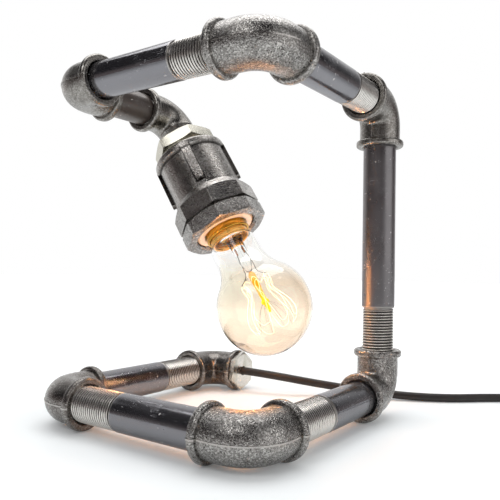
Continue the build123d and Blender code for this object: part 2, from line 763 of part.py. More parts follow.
def terminal(side):
    """Brass terminal block on the back of the porcelain, with its screw hole."""
    with BuildPart() as block:
        with BuildSketch(head_plane(PORCELAIN_TOP)):
            with Locations((side, 0)):
                RectangleRounded(TERMINAL_SIZE, TERMINAL_SIZE, 1.0)
        extrude(amount=-TERMINAL_HEIGHT)
        with BuildSketch(head_plane(PORCELAIN_TOP)):
            with Locations((side, 0)):
                Circle(SCREW_R + SCREW_FIT)
        extrude(amount=-TERMINAL_HEIGHT + 1.5, mode=Mode.SUBTRACT)
    return block.part


save(terminal(LIVE_X), "live_terminal")
save(terminal(NEUTRAL_X), "neutral_terminal")

with BuildPart() as holder_screws:
    for side, seat in ((LIVE_X, CUP_FLOOR + CONTACT_T), (NEUTRAL_X, CUP_FLOOR + SHELL_WALL)):
        with BuildSketch(head_plane(seat)):
            with Locations((side, 0)):
                Circle(SCREW_HEAD_R)
        extrude(amount=SCREW_HEAD)
        with BuildSketch(head_plane(PORCELAIN_TOP - TERMINAL_HEIGHT + 2)):
            with Locations((side, 0)):
                Circle(SCREW_R)
        extrude(amount=seat - PORCELAIN_TOP + TERMINAL_HEIGHT - 2)
save(holder_screws.part, "holder_screws")

EARTH_X = CHAMBER_R - 4.0

with BuildPart() as earth_screw:
    facing = HEAD_AXIS.cross(Y)
    with BuildSketch(Plane(origin=head_point(0, EARTH_X + 1.2, EARTH_STATION), z_dir=facing)):
        Circle(SCREW_R)
    extrude(amount=4.7)
    with BuildSketch(Plane(origin=head_point(0, EARTH_X, EARTH_STATION), z_dir=facing)):
        Circle(SCREW_HEAD_R)
    extrude(amount=1.5)
save(earth_screw.part, "earth_screw")

flex_head = cord_run(
    [HEAD - Y * (ELBOW_REACH - 2), HEAD, HEAD + HEAD_AXIS * FLEX_END], FLEX_BEND_R
)
save(flex_head, "flex_head")

# three insulated cores fan out from the end of the flex
CORE_R = 1.1
terminal_top = PORCELAIN_TOP - TERMINAL_HEIGHT
core_starts = {"core_live": (-1.15, -0.65), "core_neutral": (1.15, -0.65), "core_earth": (0, 1.35)}
core_ends = {
    "core_live": [(LIVE_X, 0, terminal_top - 3), (LIVE_X, 0, terminal_top)],
    "core_neutral": [(NEUTRAL_X, 0, terminal_top - 3), (NEUTRAL_X, 0, terminal_top)],
    "core_earth": [(0, EARTH_X - 5, EARTH_STATION), (0, EARTH_X - SPLIT_GAP, EARTH_STATION)],
}
for name, (side, across) in core_starts.items():
    stops = [(side, across, FLEX_END), (side, across, FLEX_END + 4)] + core_ends[name]
    save(cord_run([head_point(*stop) for stop in stops], 2.5, CORE_R), name)

# ---- bulb ------------------------------------------------------------------------------
with BuildPart() as bulb_cap:
    with BuildSketch(HEAD_PROFILE):
        with BuildLine():
            Polyline(
                (CAP_R - 2.0, CAP_START),
                (CAP_R - 0.6, CAP_START),
                (CAP_R, CAP_START + 0.8),
                (CAP_R, CAP_END),
                (CAP_R - CAP_WALL, CAP_END),
                (CAP_R - CAP_WALL, CAP_START + 0.8),
                (CAP_R - 2.0, CAP_START + 0.6),
                close=True,
            )
        make_face()
    revolve(axis=HEAD_LINE)
save(bulb_cap.part, "bulb_cap")

with BuildPart() as cap_insulator:
    with BuildSketch(HEAD_PROFILE):
        with BuildLine():
            Polyline(
                (0, BULB_TIP + 1.0),
                (5.0, BULB_TIP + 1.0),
                (CAP_R - 2.05, CAP_START - 0.1),
                (CAP_R - 2.05, CAP_START + 2.0),
                (0, CAP_START + 2.0),
                close=True,
            )
        make_face()
    revolve(axis=HEAD_LINE)
save(cap_insulator.part, "cap_insulator")

with BuildPart() as cap_contact:
    with BuildSketch(HEAD_PROFILE):
        with BuildLine():
            Polyline((0, BULB_TIP + 1.0), (0, BULB_TIP))
            Line((0, BULB_TIP), (2.5, BULB_TIP))
            ThreePointArc((2.5, BULB_TIP), (4.1, BULB_TIP + 0.35), (4.6, BULB_TIP + 1.0))
            Line((4.6, BULB_TIP + 1.0), (0, BULB_TIP + 1.0))
        make_face()
    revolve(axis=HEAD_LINE)
save(cap_contact.part, "cap_contact")

# glass envelope: throat in the cap, straight neck, concave shoulder and a round end
NECK_START = CAP_END - 2.5
NECK_FLARE = SHELL_END + SHELL_RIM + 0.6
FLARE_R = 4.0
flare_turn = degrees(acos(1 - (NECK_R - THROAT_R) / (2 * FLARE_R)))
neck_s = NECK_FLARE + 2 * FLARE_R * sin(radians(flare_turn))
drop = BULB_CENTRE - SHOULDER_S
shoulder_arc = (NECK_R**2 + drop**2 - BULB_R**2) / (2 * (BULB_R - NECK_R))
join_turn = asin(drop / (BULB_R + shoulder_arc))
join = (BULB_R * cos(join_turn), BULB_CENTRE - BULB_R * sin(join_turn))
end_mid = (pi / 2 - join_turn) / 2

with BuildPart() as bulb_glass:
    with BuildSketch(HEAD_PROFILE):
        with BuildLine():
            Line((THROAT_R, NECK_START), (THROAT_R, NECK_FLARE))
            flare_out = JernArc((THROAT_R, NECK_FLARE), (0, 1), FLARE_R, -flare_turn)
            flare_in = JernArc(flare_out @ 1, flare_out % 1, FLARE_R, flare_turn)
            neck = Line(flare_in @ 1, (NECK_R, SHOULDER_S))
            RadiusArc(neck @ 1, join, shoulder_arc)
            ThreePointArc(
                join,
                (BULB_R * cos(end_mid), BULB_CENTRE + BULB_R * sin(end_mid)),
                (0, BULB_CENTRE + BULB_R),
            )
            offset(amount=GLASS_WALL, side=Side.LEFT)
        make_face()
    revolve(axis=HEAD_LINE)
save(bulb_glass.part, "bulb_glass")

STEM_FLARE = NECK_FLARE - 1.5
STEM_PRESS = SHOULDER_S
STEM_TOP = STEM_PRESS + 12.0
ROD_END = BULB_CENTRE - 2.8

with BuildPart() as glass_stem:
    with BuildSketch(HEAD_PROFILE):
        with BuildLine():
            Polyline(
                (0, STEM_FLARE),
                (CAP_R - CAP_WALL - GLASS_WALL - 0.4, STEM_FLARE),
                (6.5, STEM_FLARE + 4),
                (4.6, STEM_FLARE + 9),
                (4.6, STEM_PRESS),
                (3.2, STEM_TOP),
                (STEM_ROD_R, STEM_TOP + 2),
                (STEM_ROD_R, ROD_END - 2),
                (2.6, ROD_END - 1),
                (2.6, ROD_END + 1),
                (1.5, ROD_END + 2.2),
                (0, ROD_END + 2.2),
                close=True,
            )
        make_face()
    revolve(axis=HEAD_LINE)
save(glass_stem.part, "glass_stem")

# two lead wires beside the rod, and the fine hooks that carry the filament cage
with BuildPart() as lead_wires:
    for side in (-1, 1):
        with BuildSketch(
            Plane(origin=head_point(side * 4.0, 0, STEM_PRESS + 8), z_dir=HEAD_AXIS)
        ):
            Circle(WIRE_R)
        extrude(amount=CAGE_TOP - STEM_PRESS - 8)
save(lead_wires.part, "lead_wires")


def cage_point(step):
    """Corner of the zigzag filament, alternately on the upper and the lower hooks."""
    angle = pi * step / CAGE_LOOPS + 0.2
    upper = step % 2 == 0
    reach = CAGE_TOP_R if upper else CAGE_BOTTOM_R
    return head_point(reach * cos(angle), reach * sin(angle), CAGE_TOP if upper else CAGE_BOTTOM)


with BuildPart() as filament_supports:
    for step in range(2 * CAGE_LOOPS):
        tip = cage_point(step)
        station = CAGE_TOP - 3.0 if step % 2 == 0 else ROD_END
        root_r = STEM_ROD_R + 0.1 if step % 2 == 0 else 2.7
        spoke = (tip - HEAD) - HEAD_AXIS * (tip - HEAD).dot(HEAD_AXIS)
        root = HEAD + HEAD_AXIS * station + spoke.normalized() * root_r
        with BuildSketch(Plane(origin=root, z_dir=tip - root)):
            Circle(WIRE_R / 2)
        extrude(amount=(tip - root).length - FILAMENT_R - 0.3)
save(filament_supports.part, "filament_supports")

with BuildPart() as filament:
    for step in range(2 * CAGE_LOOPS - 1):
        leg_start = cage_point(step)
        leg_end = cage_point(step + 1)
        with BuildSketch(Plane(origin=leg_start, z_dir=leg_end - leg_start)):
            Circle(FILAMENT_R)
        extrude(amount=(leg_end - leg_start).length)
save(filament.part, "filament")

# ======================================================================================
# cord, hand switch and plug
# ======================================================================================
SWITCH_IN = SWITCH_Y + SWITCH_LENGTH / 2
SWITCH_OUT = SWITCH_Y - SWITCH_LENGTH / 2
COIL_X = SWITCH_X + COIL_R + COIL_PITCH
COIL_Y = 40.0
COIL_TOP_ROW = CORD_R + 0.05 + (COIL_ROWS - 1) * COIL_PITCH

mains_points = [
    (GLAND_FACE.X, GLAND_FACE.Y, GLAND_FACE.Z),
    (-17.0, GLAND_FACE.Y, GLAND_FACE.Z),
    (17.0, 98.0, 8.2),
    (62.0, 118.0, 3.6),
    (96.0, 134.5, 2.95),
    (124.0, 162.0, 2.95),
    (150.0, 179.0, 2.95),
    (168.0, 179.8, 4.6),
    (184.0, 171.3, 7.2),
    (SWITCH_X, SWITCH_IN + 18.0, SWITCH_AXIS),
    (SWITCH_X, SWITCH_IN, SWITCH_AXIS),
]
switch_points = [
    (SWITCH_X, SWITCH_OUT, SWITCH_AXIS),
    (SWITCH_X, SWITCH_OUT - 12.0, SWITCH_AXIS),
    (SWITCH_X, COIL_Y + 10.0, CORD_R + 1.5),
    (SWITCH_X, COIL_Y, CORD_R + 1.0),
]
plug_points = [
    (COIL_X + COIL_R, COIL_Y, COIL_TOP_ROW),
    (COIL_X + COIL_R, COIL_Y + 12.0, COIL_TOP_ROW + 0.6),
    (COIL_X + COIL_R, COIL_Y + 26.0, PLUG_AXIS),
    (COIL_X + COIL_R, COIL_Y + 40.0, PLUG_AXIS),
]
for name, stops in (
    ("mains_cord", mains_points),
    ("switch_cord", switch_points),
    ("plug_cord", plug_points),
):
    radii = easy_radii(stops)
    print(name, "radii", [round(r, 1) for r in radii])
    save(cord_run(stops, radii), name)

with BuildPart() as cord_coil:
    half_width = COIL_PITCH + CORD_R + 0.1
    height = COIL_TOP_ROW + CORD_R + 0.1
    with BuildSketch(Plane(origin=(COIL_X, COIL_Y, 0), x_dir=X, z_dir=-Y)):
        with Locations((COIL_R, height / 2)):
            RectangleRounded(2 * half_width, height, CORD_R)
    revolve(axis=Axis((COIL_X, COIL_Y, 0), Z))
save(cord_coil.part, "cord_coil")


def switch_plane(height):
    """Level plane through the hand switch at a height."""
    return Plane(origin=(SWITCH_X, SWITCH_Y, height))


SPLIT_HEIGHT = SWITCH_AXIS
SCREW_Y = SWITCH_LENGTH / 2 - 9.0

with BuildPart() as switch_base:
    with BuildSketch(switch_plane(0.05)):
        RectangleRounded(SWITCH_WIDTH, SWITCH_LENGTH, SWITCH_CORNER)
    extrude(amount=SPLIT_HEIGHT - 0.1)
    chamfer(switch_base.faces().sort_by(Axis.Z)[0].edges(), length=1.2)
    with BuildSketch(switch_plane(SPLIT_HEIGHT)):
        Rectangle(WINDOW_WIDTH + 1, WINDOW_LENGTH + 1)
    extrude(amount=-SPLIT_HEIGHT + 5.5, mode=Mode.SUBTRACT)
    with BuildSketch(switch_plane(SPLIT_HEIGHT)):
        with Locations((0, SCREW_Y), (0, -SCREW_Y)):
            Circle(SCREW_R + SCREW_FIT)
    extrude(amount=-5.0, mode=Mode.SUBTRACT)
save(switch_base.part, "switch_base")

with BuildPart() as switch_cover:
    with BuildSketch(switch_plane(SPLIT_HEIGHT)):
        RectangleRounded(SWITCH_WIDTH, SWITCH_LENGTH, SWITCH_CORNER)
    extrude(amount=SWITCH_HEIGHT - SPLIT_HEIGHT)
    fillet(switch_cover.faces().sort_by(Axis.Z)[-1].edges(), radius=2.4)
    with BuildSketch(switch_plane(SPLIT_HEIGHT)):
        Rectangle(WINDOW_WIDTH, WINDOW_LENGTH)
    extrude(amount=SWITCH_HEIGHT, mode=Mode.SUBTRACT)
    # bearing holes for the rocker's two studs
    with BuildSketch(Plane(origin=(SWITCH_X, SWITCH_Y, ROCKER_PIVOT), x_dir=Y, z_dir=X)):
        Circle(PIVOT_R + PIVOT_FIT)
    extrude(amount=WINDOW_WIDTH / 2 + PIVOT_DEPTH + 0.2, both=True, mode=Mode.SUBTRACT)
    with BuildSketch(switch_plane(SWITCH_HEIGHT)):
        with Locations((0, SCREW_Y), (0, -SCREW_Y)):
            Circle(SCREW_HEAD_R + 0.2)
    extrude(amount=-3.0, mode=Mode.SUBTRACT)
    with BuildSketch(switch_plane(SWITCH_HEIGHT)):
        with Locations((0, SCREW_Y), (0, -SCREW_Y)):
            Circle(SCREW_R + SCREW_FIT)
    extrude(amount=-SWITCH_HEIGHT, mode=Mode.SUBTRACT)
save(switch_cover.part, "switch_cover")

with BuildPart() as switch_screws:
    with BuildSketch(switch_plane(SWITCH_HEIGHT - 3.0)):
        with Locations((0, SCREW_Y), (0, -SCREW_Y)):
            Circle(SCREW_HEAD_R)
    extrude(amount=SCREW_HEAD)
    with BuildSketch(switch_plane(SPLIT_HEIGHT - 4.5)):
        with Locations((0, SCREW_Y), (0, -SCREW_Y)):
            Circle(SCREW_R)
    extrude(amount=SWITCH_HEIGHT - 3.0 - SPLIT_HEIGHT + 4.5)
save(switch_screws.part, "switch_screws")

# the rocker rests with its plug end pressed in; its top is a shallow V
ROCKER_REACH = WINDOW_LENGTH / 2 - ROCKER_FIT
with BuildPart() as switch_rocker:
    pivot = Plane(origin=(SWITCH_X, SWITCH_Y, ROCKER_PIVOT), x_dir=Y, z_dir=X)
    lean = Vector(0, cos(radians(ROCKER_TILT)), sin(radians(ROCKER_TILT)))
    with BuildSketch(Plane(origin=pivot.origin, x_dir=lean, z_dir=X)):
        with BuildLine():
            Polyline(
                (-ROCKER_REACH - 1, 7.6),
                (0, 4.6),
                (ROCKER_REACH + 1, 7.6),
                (ROCKER_REACH + 1, -2.0),
                (-ROCKER_REACH - 1, -2.0),
                close=True,
            )
        make_face()
    extrude(amount=WINDOW_WIDTH / 2 - 0.4, both=True)
    with BuildSketch(pivot):
        Circle(ROCKER_REACH)
    extrude(amount=WINDOW_WIDTH, both=True, mode=Mode.INTERSECT)
    with BuildSketch(pivot):
        Circle(PIVOT_R)
    extrude(amount=WINDOW_WIDTH / 2 + PIVOT_DEPTH, both=True)
save(switch_rocker.part, "switch_rocker")

# ---- plug: a drum with two pins and an earth strip above and below -----------------------
PLUG_START = COIL_Y + 40.0
PLUG_X = COIL_X + COIL_R
PLUG_FACE = PLUG_START + PLUG_RELIEF + PLUG_GRIP
STRIP_W = 5.0
STRIP_T = 1.0
STRIP_L = 14.0
GROOVE = 1.6

with BuildPart() as plug_body:
    with BuildSketch(Plane(origin=(PLUG_X, 0, PLUG_AXIS), x_dir=X, z_dir=Z)):
        with BuildLine():
            Polyline(
                (0, PLUG_START),
                (3.8, PLUG_START),
                (5.8, PLUG_START + PLUG_RELIEF),
                (9.0, PLUG_START + PLUG_RELIEF + 3),
            )
            Spline(
                (9.0, PLUG_START + PLUG_RELIEF + 3),
                (12.5, PLUG_START + PLUG_RELIEF + 14),
                (13.5, PLUG_START + PLUG_RELIEF + 26),
                (PLUG_DRUM_R - 1.2, PLUG_START + PLUG_RELIEF + 32),
                tangents=((0.6, 1), (1, 0.6)),
            )
            Polyline(
                (PLUG_DRUM_R - 1.2, PLUG_START + PLUG_RELIEF + 32),
                (PLUG_DRUM_R, PLUG_START + PLUG_RELIEF + 33.5),
                (PLUG_DRUM_R, PLUG_FACE - 1),
                (PLUG_DRUM_R - 1, PLUG_FACE),
                (0, PLUG_FACE),
                (0, PLUG_START),
            )
        make_face()
    revolve(axis=Axis((PLUG_X, 0, PLUG_AXIS), Y))
    for up in (1, -1):
        with BuildSketch(Plane(origin=(PLUG_X, PLUG_FACE, PLUG_AXIS), x_dir=X, z_dir=Y)):
            with Locations((0, -up * (PLUG_DRUM_R - GROOVE / 2))):
                Rectangle(STRIP_W + 1, GROOVE + 0.4)
        extrude(amount=-STRIP_L, mode=Mode.SUBTRACT)
    with BuildSketch(Plane(origin=(PLUG_X, PLUG_FACE, PLUG_AXIS), x_dir=X, z_dir=Y)):
        with Locations((PIN_X, 0), (-PIN_X, 0)):
            Circle(PIN_ROOT_R + SCREW_FIT)
    extrude(amount=-PIN_ROOT - 0.3, mode=Mode.SUBTRACT)
save(plug_body.part, "plug_body")

with BuildPart() as plug_pins:
    with BuildSketch(Plane(origin=(PLUG_X, PLUG_FACE, PLUG_AXIS), x_dir=X, z_dir=Y)):
        with Locations((PIN_X, 0), (-PIN_X, 0)):
            Circle(PIN_R)
    extrude(amount=PIN_LENGTH)
    with BuildSketch(Plane(origin=(PLUG_X, PLUG_FACE, PLUG_AXIS), x_dir=X, z_dir=Y)):
        with Locations((PIN_X, 0), (-PIN_X, 0)):
            Circle(PIN_ROOT_R)
    extrude(amount=-PIN_ROOT)
    chamfer(circle_edges(plug_pins, PIN_R).group_by(Axis.Y)[-1], length=0.9)
save(plug_pins.part, "plug_pins")

with BuildPart() as plug_earth_strips:
    for up in (1, -1):
        with BuildSketch(Plane(origin=(PLUG_X, PLUG_FACE - 0.3, PLUG_AXIS), x_dir=X, z_dir=Y)):
            with Locations((0, -up * (PLUG_DRUM_R - GROOVE - 0.2 + STRIP_T / 2))):
                Rectangle(STRIP_W, STRIP_T)
        extrude(amount=-STRIP_L + 0.6)
save(plug_earth_strips.part, "plug_earth_strips")

coil_length = COIL_TURNS * 2 * pi * COIL_R
print("head axis", tuple(round(v, 4) for v in HEAD_AXIS))
print("head corner", tuple(round(v, 3) for v in HEAD))
print("length in the coil", round(coil_length, 1))
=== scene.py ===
import json
import math

import bpy
from mathutils import Matrix, Vector

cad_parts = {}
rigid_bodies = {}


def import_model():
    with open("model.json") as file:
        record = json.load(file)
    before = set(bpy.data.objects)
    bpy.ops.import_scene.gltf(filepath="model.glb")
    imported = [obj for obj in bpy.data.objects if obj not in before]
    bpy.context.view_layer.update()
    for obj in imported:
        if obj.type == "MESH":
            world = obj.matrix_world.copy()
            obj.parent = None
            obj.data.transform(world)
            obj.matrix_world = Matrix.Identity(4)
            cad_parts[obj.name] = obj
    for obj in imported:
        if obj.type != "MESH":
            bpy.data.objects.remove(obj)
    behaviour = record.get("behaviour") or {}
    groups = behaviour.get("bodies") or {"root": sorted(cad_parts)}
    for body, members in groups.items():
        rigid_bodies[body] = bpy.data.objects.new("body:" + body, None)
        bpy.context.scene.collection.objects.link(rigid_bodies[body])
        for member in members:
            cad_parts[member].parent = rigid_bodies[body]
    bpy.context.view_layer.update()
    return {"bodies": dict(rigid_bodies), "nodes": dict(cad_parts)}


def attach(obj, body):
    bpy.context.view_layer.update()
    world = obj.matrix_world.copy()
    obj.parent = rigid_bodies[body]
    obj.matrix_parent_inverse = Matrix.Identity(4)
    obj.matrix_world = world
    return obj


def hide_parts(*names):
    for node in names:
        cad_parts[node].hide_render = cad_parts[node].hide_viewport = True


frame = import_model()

nodes = frame["nodes"]

# ---- corner points of the pipework and sizes, as the metal parts have them ---------------
X = Vector((1, 0, 0))
Y = Vector((0, 1, 0))
Z = Vector((0, 0, 1))
FRONT_RIGHT = Vector((0.072, -0.0735, 0.0154))
FRONT_LEFT = Vector((-0.072, -0.0735, 0.0154))
BACK_LEFT = Vector((-0.072, 0.0735, 0.0154))
RISER = Vector((0.072, 0.0705, 0.0154))
TOP_RISER = Vector((0.072, 0.0705, 0.2054))
TOP_FRONT = Vector((0.072, -0.0685, 0.2054))
TOP_LEFT = Vector((-0.071, -0.0685, 0.2054))
HEAD = TOP_LEFT + Y * 0.086
HEAD_LEAN = math.radians(33)
HEAD_AXIS = X * math.sin(HEAD_LEAN) - Z * math.cos(HEAD_LEAN)
ACROSS = HEAD_AXIS.cross(Y)
RIB_ANGLE = math.radians(147)
RIB_SPACING = math.radians(90)
RIB_HALF = 0.00315
RIB_END = 0.0698
BARREL_R = 0.0240
COUPLING_TOP = 0.0375
BEAD_END = 0.0435
REACH = 0.028
BODY_R = 0.0131
BEND_R = 0.015
PIPE_R = 0.01065
BORE_R = 0.0080
CREST_R = 0.010475
ROOT_R = 0.00935
PITCH = 0.001814
# points closer than this are one point
SAME_SPOT = 0.000004


def head_point(side, across, station):
    """A point of the head, from its two offsets from the axis and its distance down it."""
    return HEAD + Y * side + ACROSS * across + HEAD_AXIS * station


# ---- camera ----------------------------------------------------------------------------
camera_data = bpy.data.cameras.new("camera")
camera = bpy.data.objects.new("camera", camera_data)
bpy.context.scene.collection.objects.link(camera)
CAMERA_SPOT = (0.225887, -0.294522, 0.096244)
right = Vector((0.81554, 0.57844, 0.01742))
up = Vector((0.00268, -0.03388, 0.99942))
back = Vector((0.57870, -0.81502, -0.02918))
turn = Matrix((right, up, back)).transposed().to_4x4()
camera.matrix_world = Matrix.Translation(CAMERA_SPOT) @ turn
camera_data.sensor_width = 36.0
camera_data.lens = 41.73
camera_data.clip_start = 0.01
bpy.context.scene.camera = camera


# ======================================================================================
# shader building
# ======================================================================================
def add(tree, kind, inputs=(), **settings):
    """Put a node in a tree, set its options, and fill or join its inputs."""
    made = tree.nodes.new("ShaderNode" + kind)
    for option, value in settings.items():
        setattr(made, option, value)
    for key, value in dict(inputs).items():
        if isinstance(value, bpy.types.NodeSocket):
            tree.links.new(value, made.inputs[key])
        else:
            made.inputs[key].default_value = value
    return made


def math_of(tree, operation, first, second=0.0, third=0.0):
    """Result of one sum on up to three values."""
    sum_node = add(tree, "Math", {0: first, 1: second, 2: third}, operation=operation)
    return sum_node.outputs[0]


def between(tree, value, low, high, start=0.0, end=1.0):
    """Ease a value from start to end as it goes from low to high."""
    eased = add(
        tree,
        "MapRange",
        {"Value": value, "From Min": low, "From Max": high, "To Min": start, "To Max": end},
        interpolation_type="SMOOTHSTEP",
    )
    return eased.outputs["Result"]


def mixed(tree, share, first, second):
    """Colour between two colours."""
    mix = add(tree, "Mix", {"Factor": share}, data_type="RGBA")
    for socket, value in ((mix.inputs[6], first), (mix.inputs[7], second)):
        if isinstance(value, bpy.types.NodeSocket):
            tree.links.new(value, socket)
        else:
            socket.default_value = (*value, 1.0)
    return mix.outputs[2]


def noise(tree, spot, scale, detail=2.0, roughness=0.5, distortion=0.0):
    """Cloudy noise of features one over scale metres across."""
    made = add(
        tree,
        "TexNoise",
        {
            "Vector": spot,
            "Scale": scale,
            "Detail": detail,
            "Roughness": roughness,
            "Distortion": distortion,
        },
    )
    return made.outputs["Fac"]


def new_group(name, inputs, outputs):
    """Empty shader group with named number inputs and named outputs."""
    tree = bpy.data.node_groups.new(name, "ShaderNodeTree")
    for label, value in inputs.items():
        socket = tree.interface.new_socket(label, in_out="INPUT", socket_type="NodeSocketFloat")
        socket.default_value = value
    for label in outputs:
        tree.interface.new_socket(label, in_out="OUTPUT", socket_type="NodeSocketFloat")
    given = tree.nodes.new("NodeGroupInput")
    result = tree.nodes.new("NodeGroupOutput")
    return tree, given.outputs, result.inputs


def use_group(tree, group, **inputs):
    """Place a shared group in a material with this material's own values."""
    made = tree.nodes.new("ShaderNodeGroup")
    made.node_tree = group
    for label, value in inputs.items():
        made.inputs[label.replace("_", " ").capitalize()].default_value = value
    return made.outputs


def new_material(name, **constants):
    """Principled material, with the sockets that stay the same all over set on it."""
    made = bpy.data.materials.new(name)
    made.use_nodes = True
    shader = made.node_tree.nodes["Principled BSDF"]
    for label, value in constants.items():
        socket = shader.inputs[label.replace("_", " ")]
        socket.default_value = (*value, 1.0) if isinstance(value, tuple) else value
    return made, made.node_tree, shader


def bump(tree, shader, height, distance, strength=1.0):
    """Join a height to a shader's normal."""
    inputs = {"Height": height, "Distance": distance, "Strength": strength}
    made = add(tree, "Bump", inputs)
    tree.links.new(made.outputs["Normal"], shader.inputs["Normal"])


def object_spot(tree):
    """Place on the piece, in metres."""
    return add(tree, "TexCoord").outputs["Object"]


# sand skin of a casting: grains of differing tone, the pits between them and cloudy patches
cast_skin, given, result = new_group(
    "cast_skin", {"Grain": 1000.0, "Clumps": 0.5}, ("Height", "Tone", "Pits", "Patches")
)
spot = object_spot(cast_skin)
# how far the grains are shaken out of line, in metres
WANDER = 0.0011
wander = add(cast_skin, "TexNoise", {"Vector": spot, "Scale": 900.0, "Detail": 2.0})
shaken = add(
    cast_skin,
    "VectorMath",
    {0: wander.outputs["Color"], 1: (WANDER, WANDER, WANDER), 2: spot},
    operation="MULTIPLY_ADD",
).outputs[0]
fine = noise(cast_skin, shaken, given["Grain"], 3.0, 0.62)
grain_cells = add(cast_skin, "TexVoronoi", {"Vector": shaken, "Scale": given["Grain"]})
coarse_grain = math_of(cast_skin, "MULTIPLY", given["Grain"], 0.37)
clump = noise(cast_skin, spot, coarse_grain, 2.0, 0.5)
clump_share = math_of(cast_skin, "MULTIPLY", clump, given["Clumps"])
cell_height = math_of(cast_skin, "SUBTRACT", 1.0, grain_cells.outputs["Distance"])
grain_sum = math_of(cast_skin, "MULTIPLY_ADD", cell_height, 0.45, fine)
cell_tone = add(cast_skin, "SeparateColor", {0: grain_cells.outputs["Color"]}).outputs[0]
patches = between(cast_skin, noise(cast_skin, spot, 75.0, 3.0), 0.30, 0.75)
cast_skin.links.new(math_of(cast_skin, "ADD", grain_sum, clump_share), result["Height"])
cast_skin.links.new(math_of(cast_skin, "POWER", cell_tone, 2.4), result["Tone"])
cast_skin.links.new(between(cast_skin, fine, 0.36, 0.47, 1.0, 0.0), result["Pits"])
cast_skin.links.new(patches, result["Patches"])

# worn edges: where the surface is convex, broken up by fine noise; and the concave creases, which
# the castings darken as painted shade with dirt
edge_wear_and_crease, given, result = new_group(
    "edge_wear_and_crease", {"Start": 0.54, "End": 0.60, "Breakup": 0.5}, ("Wear", "Crease")
)
spot = object_spot(edge_wear_and_crease)
crown = add(edge_wear_and_crease, "NewGeometry").outputs["Pointiness"]
edge_share = between(edge_wear_and_crease, crown, given["Start"], given["End"])
edge_wear_and_crease.links.new(between(edge_wear_and_crease, crown, 0.455, 0.40), result["Crease"])
rubbed = between(edge_wear_and_crease, noise(edge_wear_and_crease, spot, 620.0, 4.0, 0.7), 0.38, 0.60)
spared = math_of(edge_wear_and_crease, "SUBTRACT", 1.0, rubbed)
kept = math_of(edge_wear_and_crease, "MULTIPLY", given["Breakup"], spared)
worn_share = math_of(edge_wear_and_crease, "SUBTRACT", 1.0, kept)
edge_wear_and_crease.links.new(math_of(edge_wear_and_crease, "MULTIPLY", edge_share, worn_share), result["Wear"])

# marks of handling: hair scratches in two directions and small chips
handling, given, result = new_group(
    "handling", {"Scratches": 0.5, "Chips": 0.5}, ("Scratches", "Chips")
)
spot = object_spot(handling)
SCRATCH_RUNS = (((0.5, 0.2, 0.9), 26.0), ((-0.7, 0.4, -0.3), 20.0))
lines = []
for number, (angle, stretch) in enumerate(SCRATCH_RUNS):
    laid = add(
        handling,
        "Mapping",
        {"Vector": spot, "Rotation": angle, "Scale": (1.0, stretch, stretch * 0.8)},
    )
    streak = noise(handling, laid.outputs["Vector"], 34.0 + 9 * number, 1.0, 0.4, 0.3)
    hair = math_of(handling, "ABSOLUTE", math_of(handling, "SUBTRACT", streak, 0.5))
    thin = between(handling, hair, 0.0015, 0.006, 1.0, 0.0)
    where = between(handling, noise(handling, spot, 95.0 + 31 * number, 2.0), 0.57, 0.65)
    lines.append(math_of(handling, "MULTIPLY", thin, where))
both = math_of(handling, "MAXIMUM", lines[0], lines[1])
handling.links.new(math_of(handling, "MULTIPLY", both, given["Scratches"]), result["Scratches"])
flecks = noise(handling, spot, 520.0, 3.0, 0.6, 0.4)
chip_field = noise(handling, spot, 140.0, 1.0)
chip_level = math_of(handling, "MULTIPLY_ADD", chip_field, 0.35, flecks)
chip = between(handling, chip_level, 0.885, 0.912)
handling.links.new(math_of(handling, "MULTIPLY", chip, given["Chips"]), result["Chips"])


# ======================================================================================
# finishes
# ======================================================================================
# span that cloudy noise mostly keeps within
CLOUD_SPAN = (0.3, 0.7)
BRIGHT_GRAIN = (0.58, 0.565, 0.54)
PIT_DIRT_AND_CREASE_SHADE = (0.020, 0.017, 0.015)
RUBBED_IRON = (0.50, 0.48, 0.46)
RIB_SHADE_AND_OIL = (0.018, 0.015, 0.013)
# share of painted shade and dirt in the inner corners, share of rubbed metal on the edges, and its
# smoothness
CORNER_SHADE_AND_DIRT = 0.6
RUBBING = 0.7
POLISH = -0.08


def cast_iron(name, dark, light, grain, depth, roughness, pepper):
    """Oiled malleable iron: bright sand grains, dark pits between them, rubbed edges, and painted
    shade with dirt in the inner creases.
    """
    made, tree, shader = new_material(name, Metallic=1.0)
    skin = use_group(tree, cast_skin, grain=grain, clumps=0.5)
    edges = use_group(tree, edge_wear_and_crease, start=0.53, end=0.60, breakup=0.6)
    wear = edges["Wear"]
    cloudy = mixed(tree, skin["Patches"], dark, light)
    salt = math_of(tree, "MULTIPLY", skin["Tone"], pepper)
    grained = mixed(tree, salt, cloudy, BRIGHT_GRAIN)
    dirt = math_of(tree, "MULTIPLY", skin["Pits"], pepper)
    # painted shade: the concave creases are darkened, together with dirt
    crease_shade_and_dirt = math_of(tree, "MULTIPLY", edges["Crease"], CORNER_SHADE_AND_DIRT)
    pitted_and_shaded = mixed(tree, math_of(tree, "MAXIMUM", dirt, crease_shade_and_dirt), grained, PIT_DIRT_AND_CREASE_SHADE)
    worn = mixed(tree, math_of(tree, "MULTIPLY", wear, RUBBING), pitted_and_shaded, RUBBED_IRON)
    tree.links.new(worn, shader.inputs["Base Color"])
    matt = between(tree, skin["Patches"], 0.0, 1.0, roughness + 0.05, roughness - 0.05)
    rough = math_of(tree, "MULTIPLY_ADD", wear, POLISH, matt)
    tree.links.new(rough, shader.inputs["Roughness"])
    bump(tree, shader, skin["Height"], depth)
    return made, tree, shader, worn


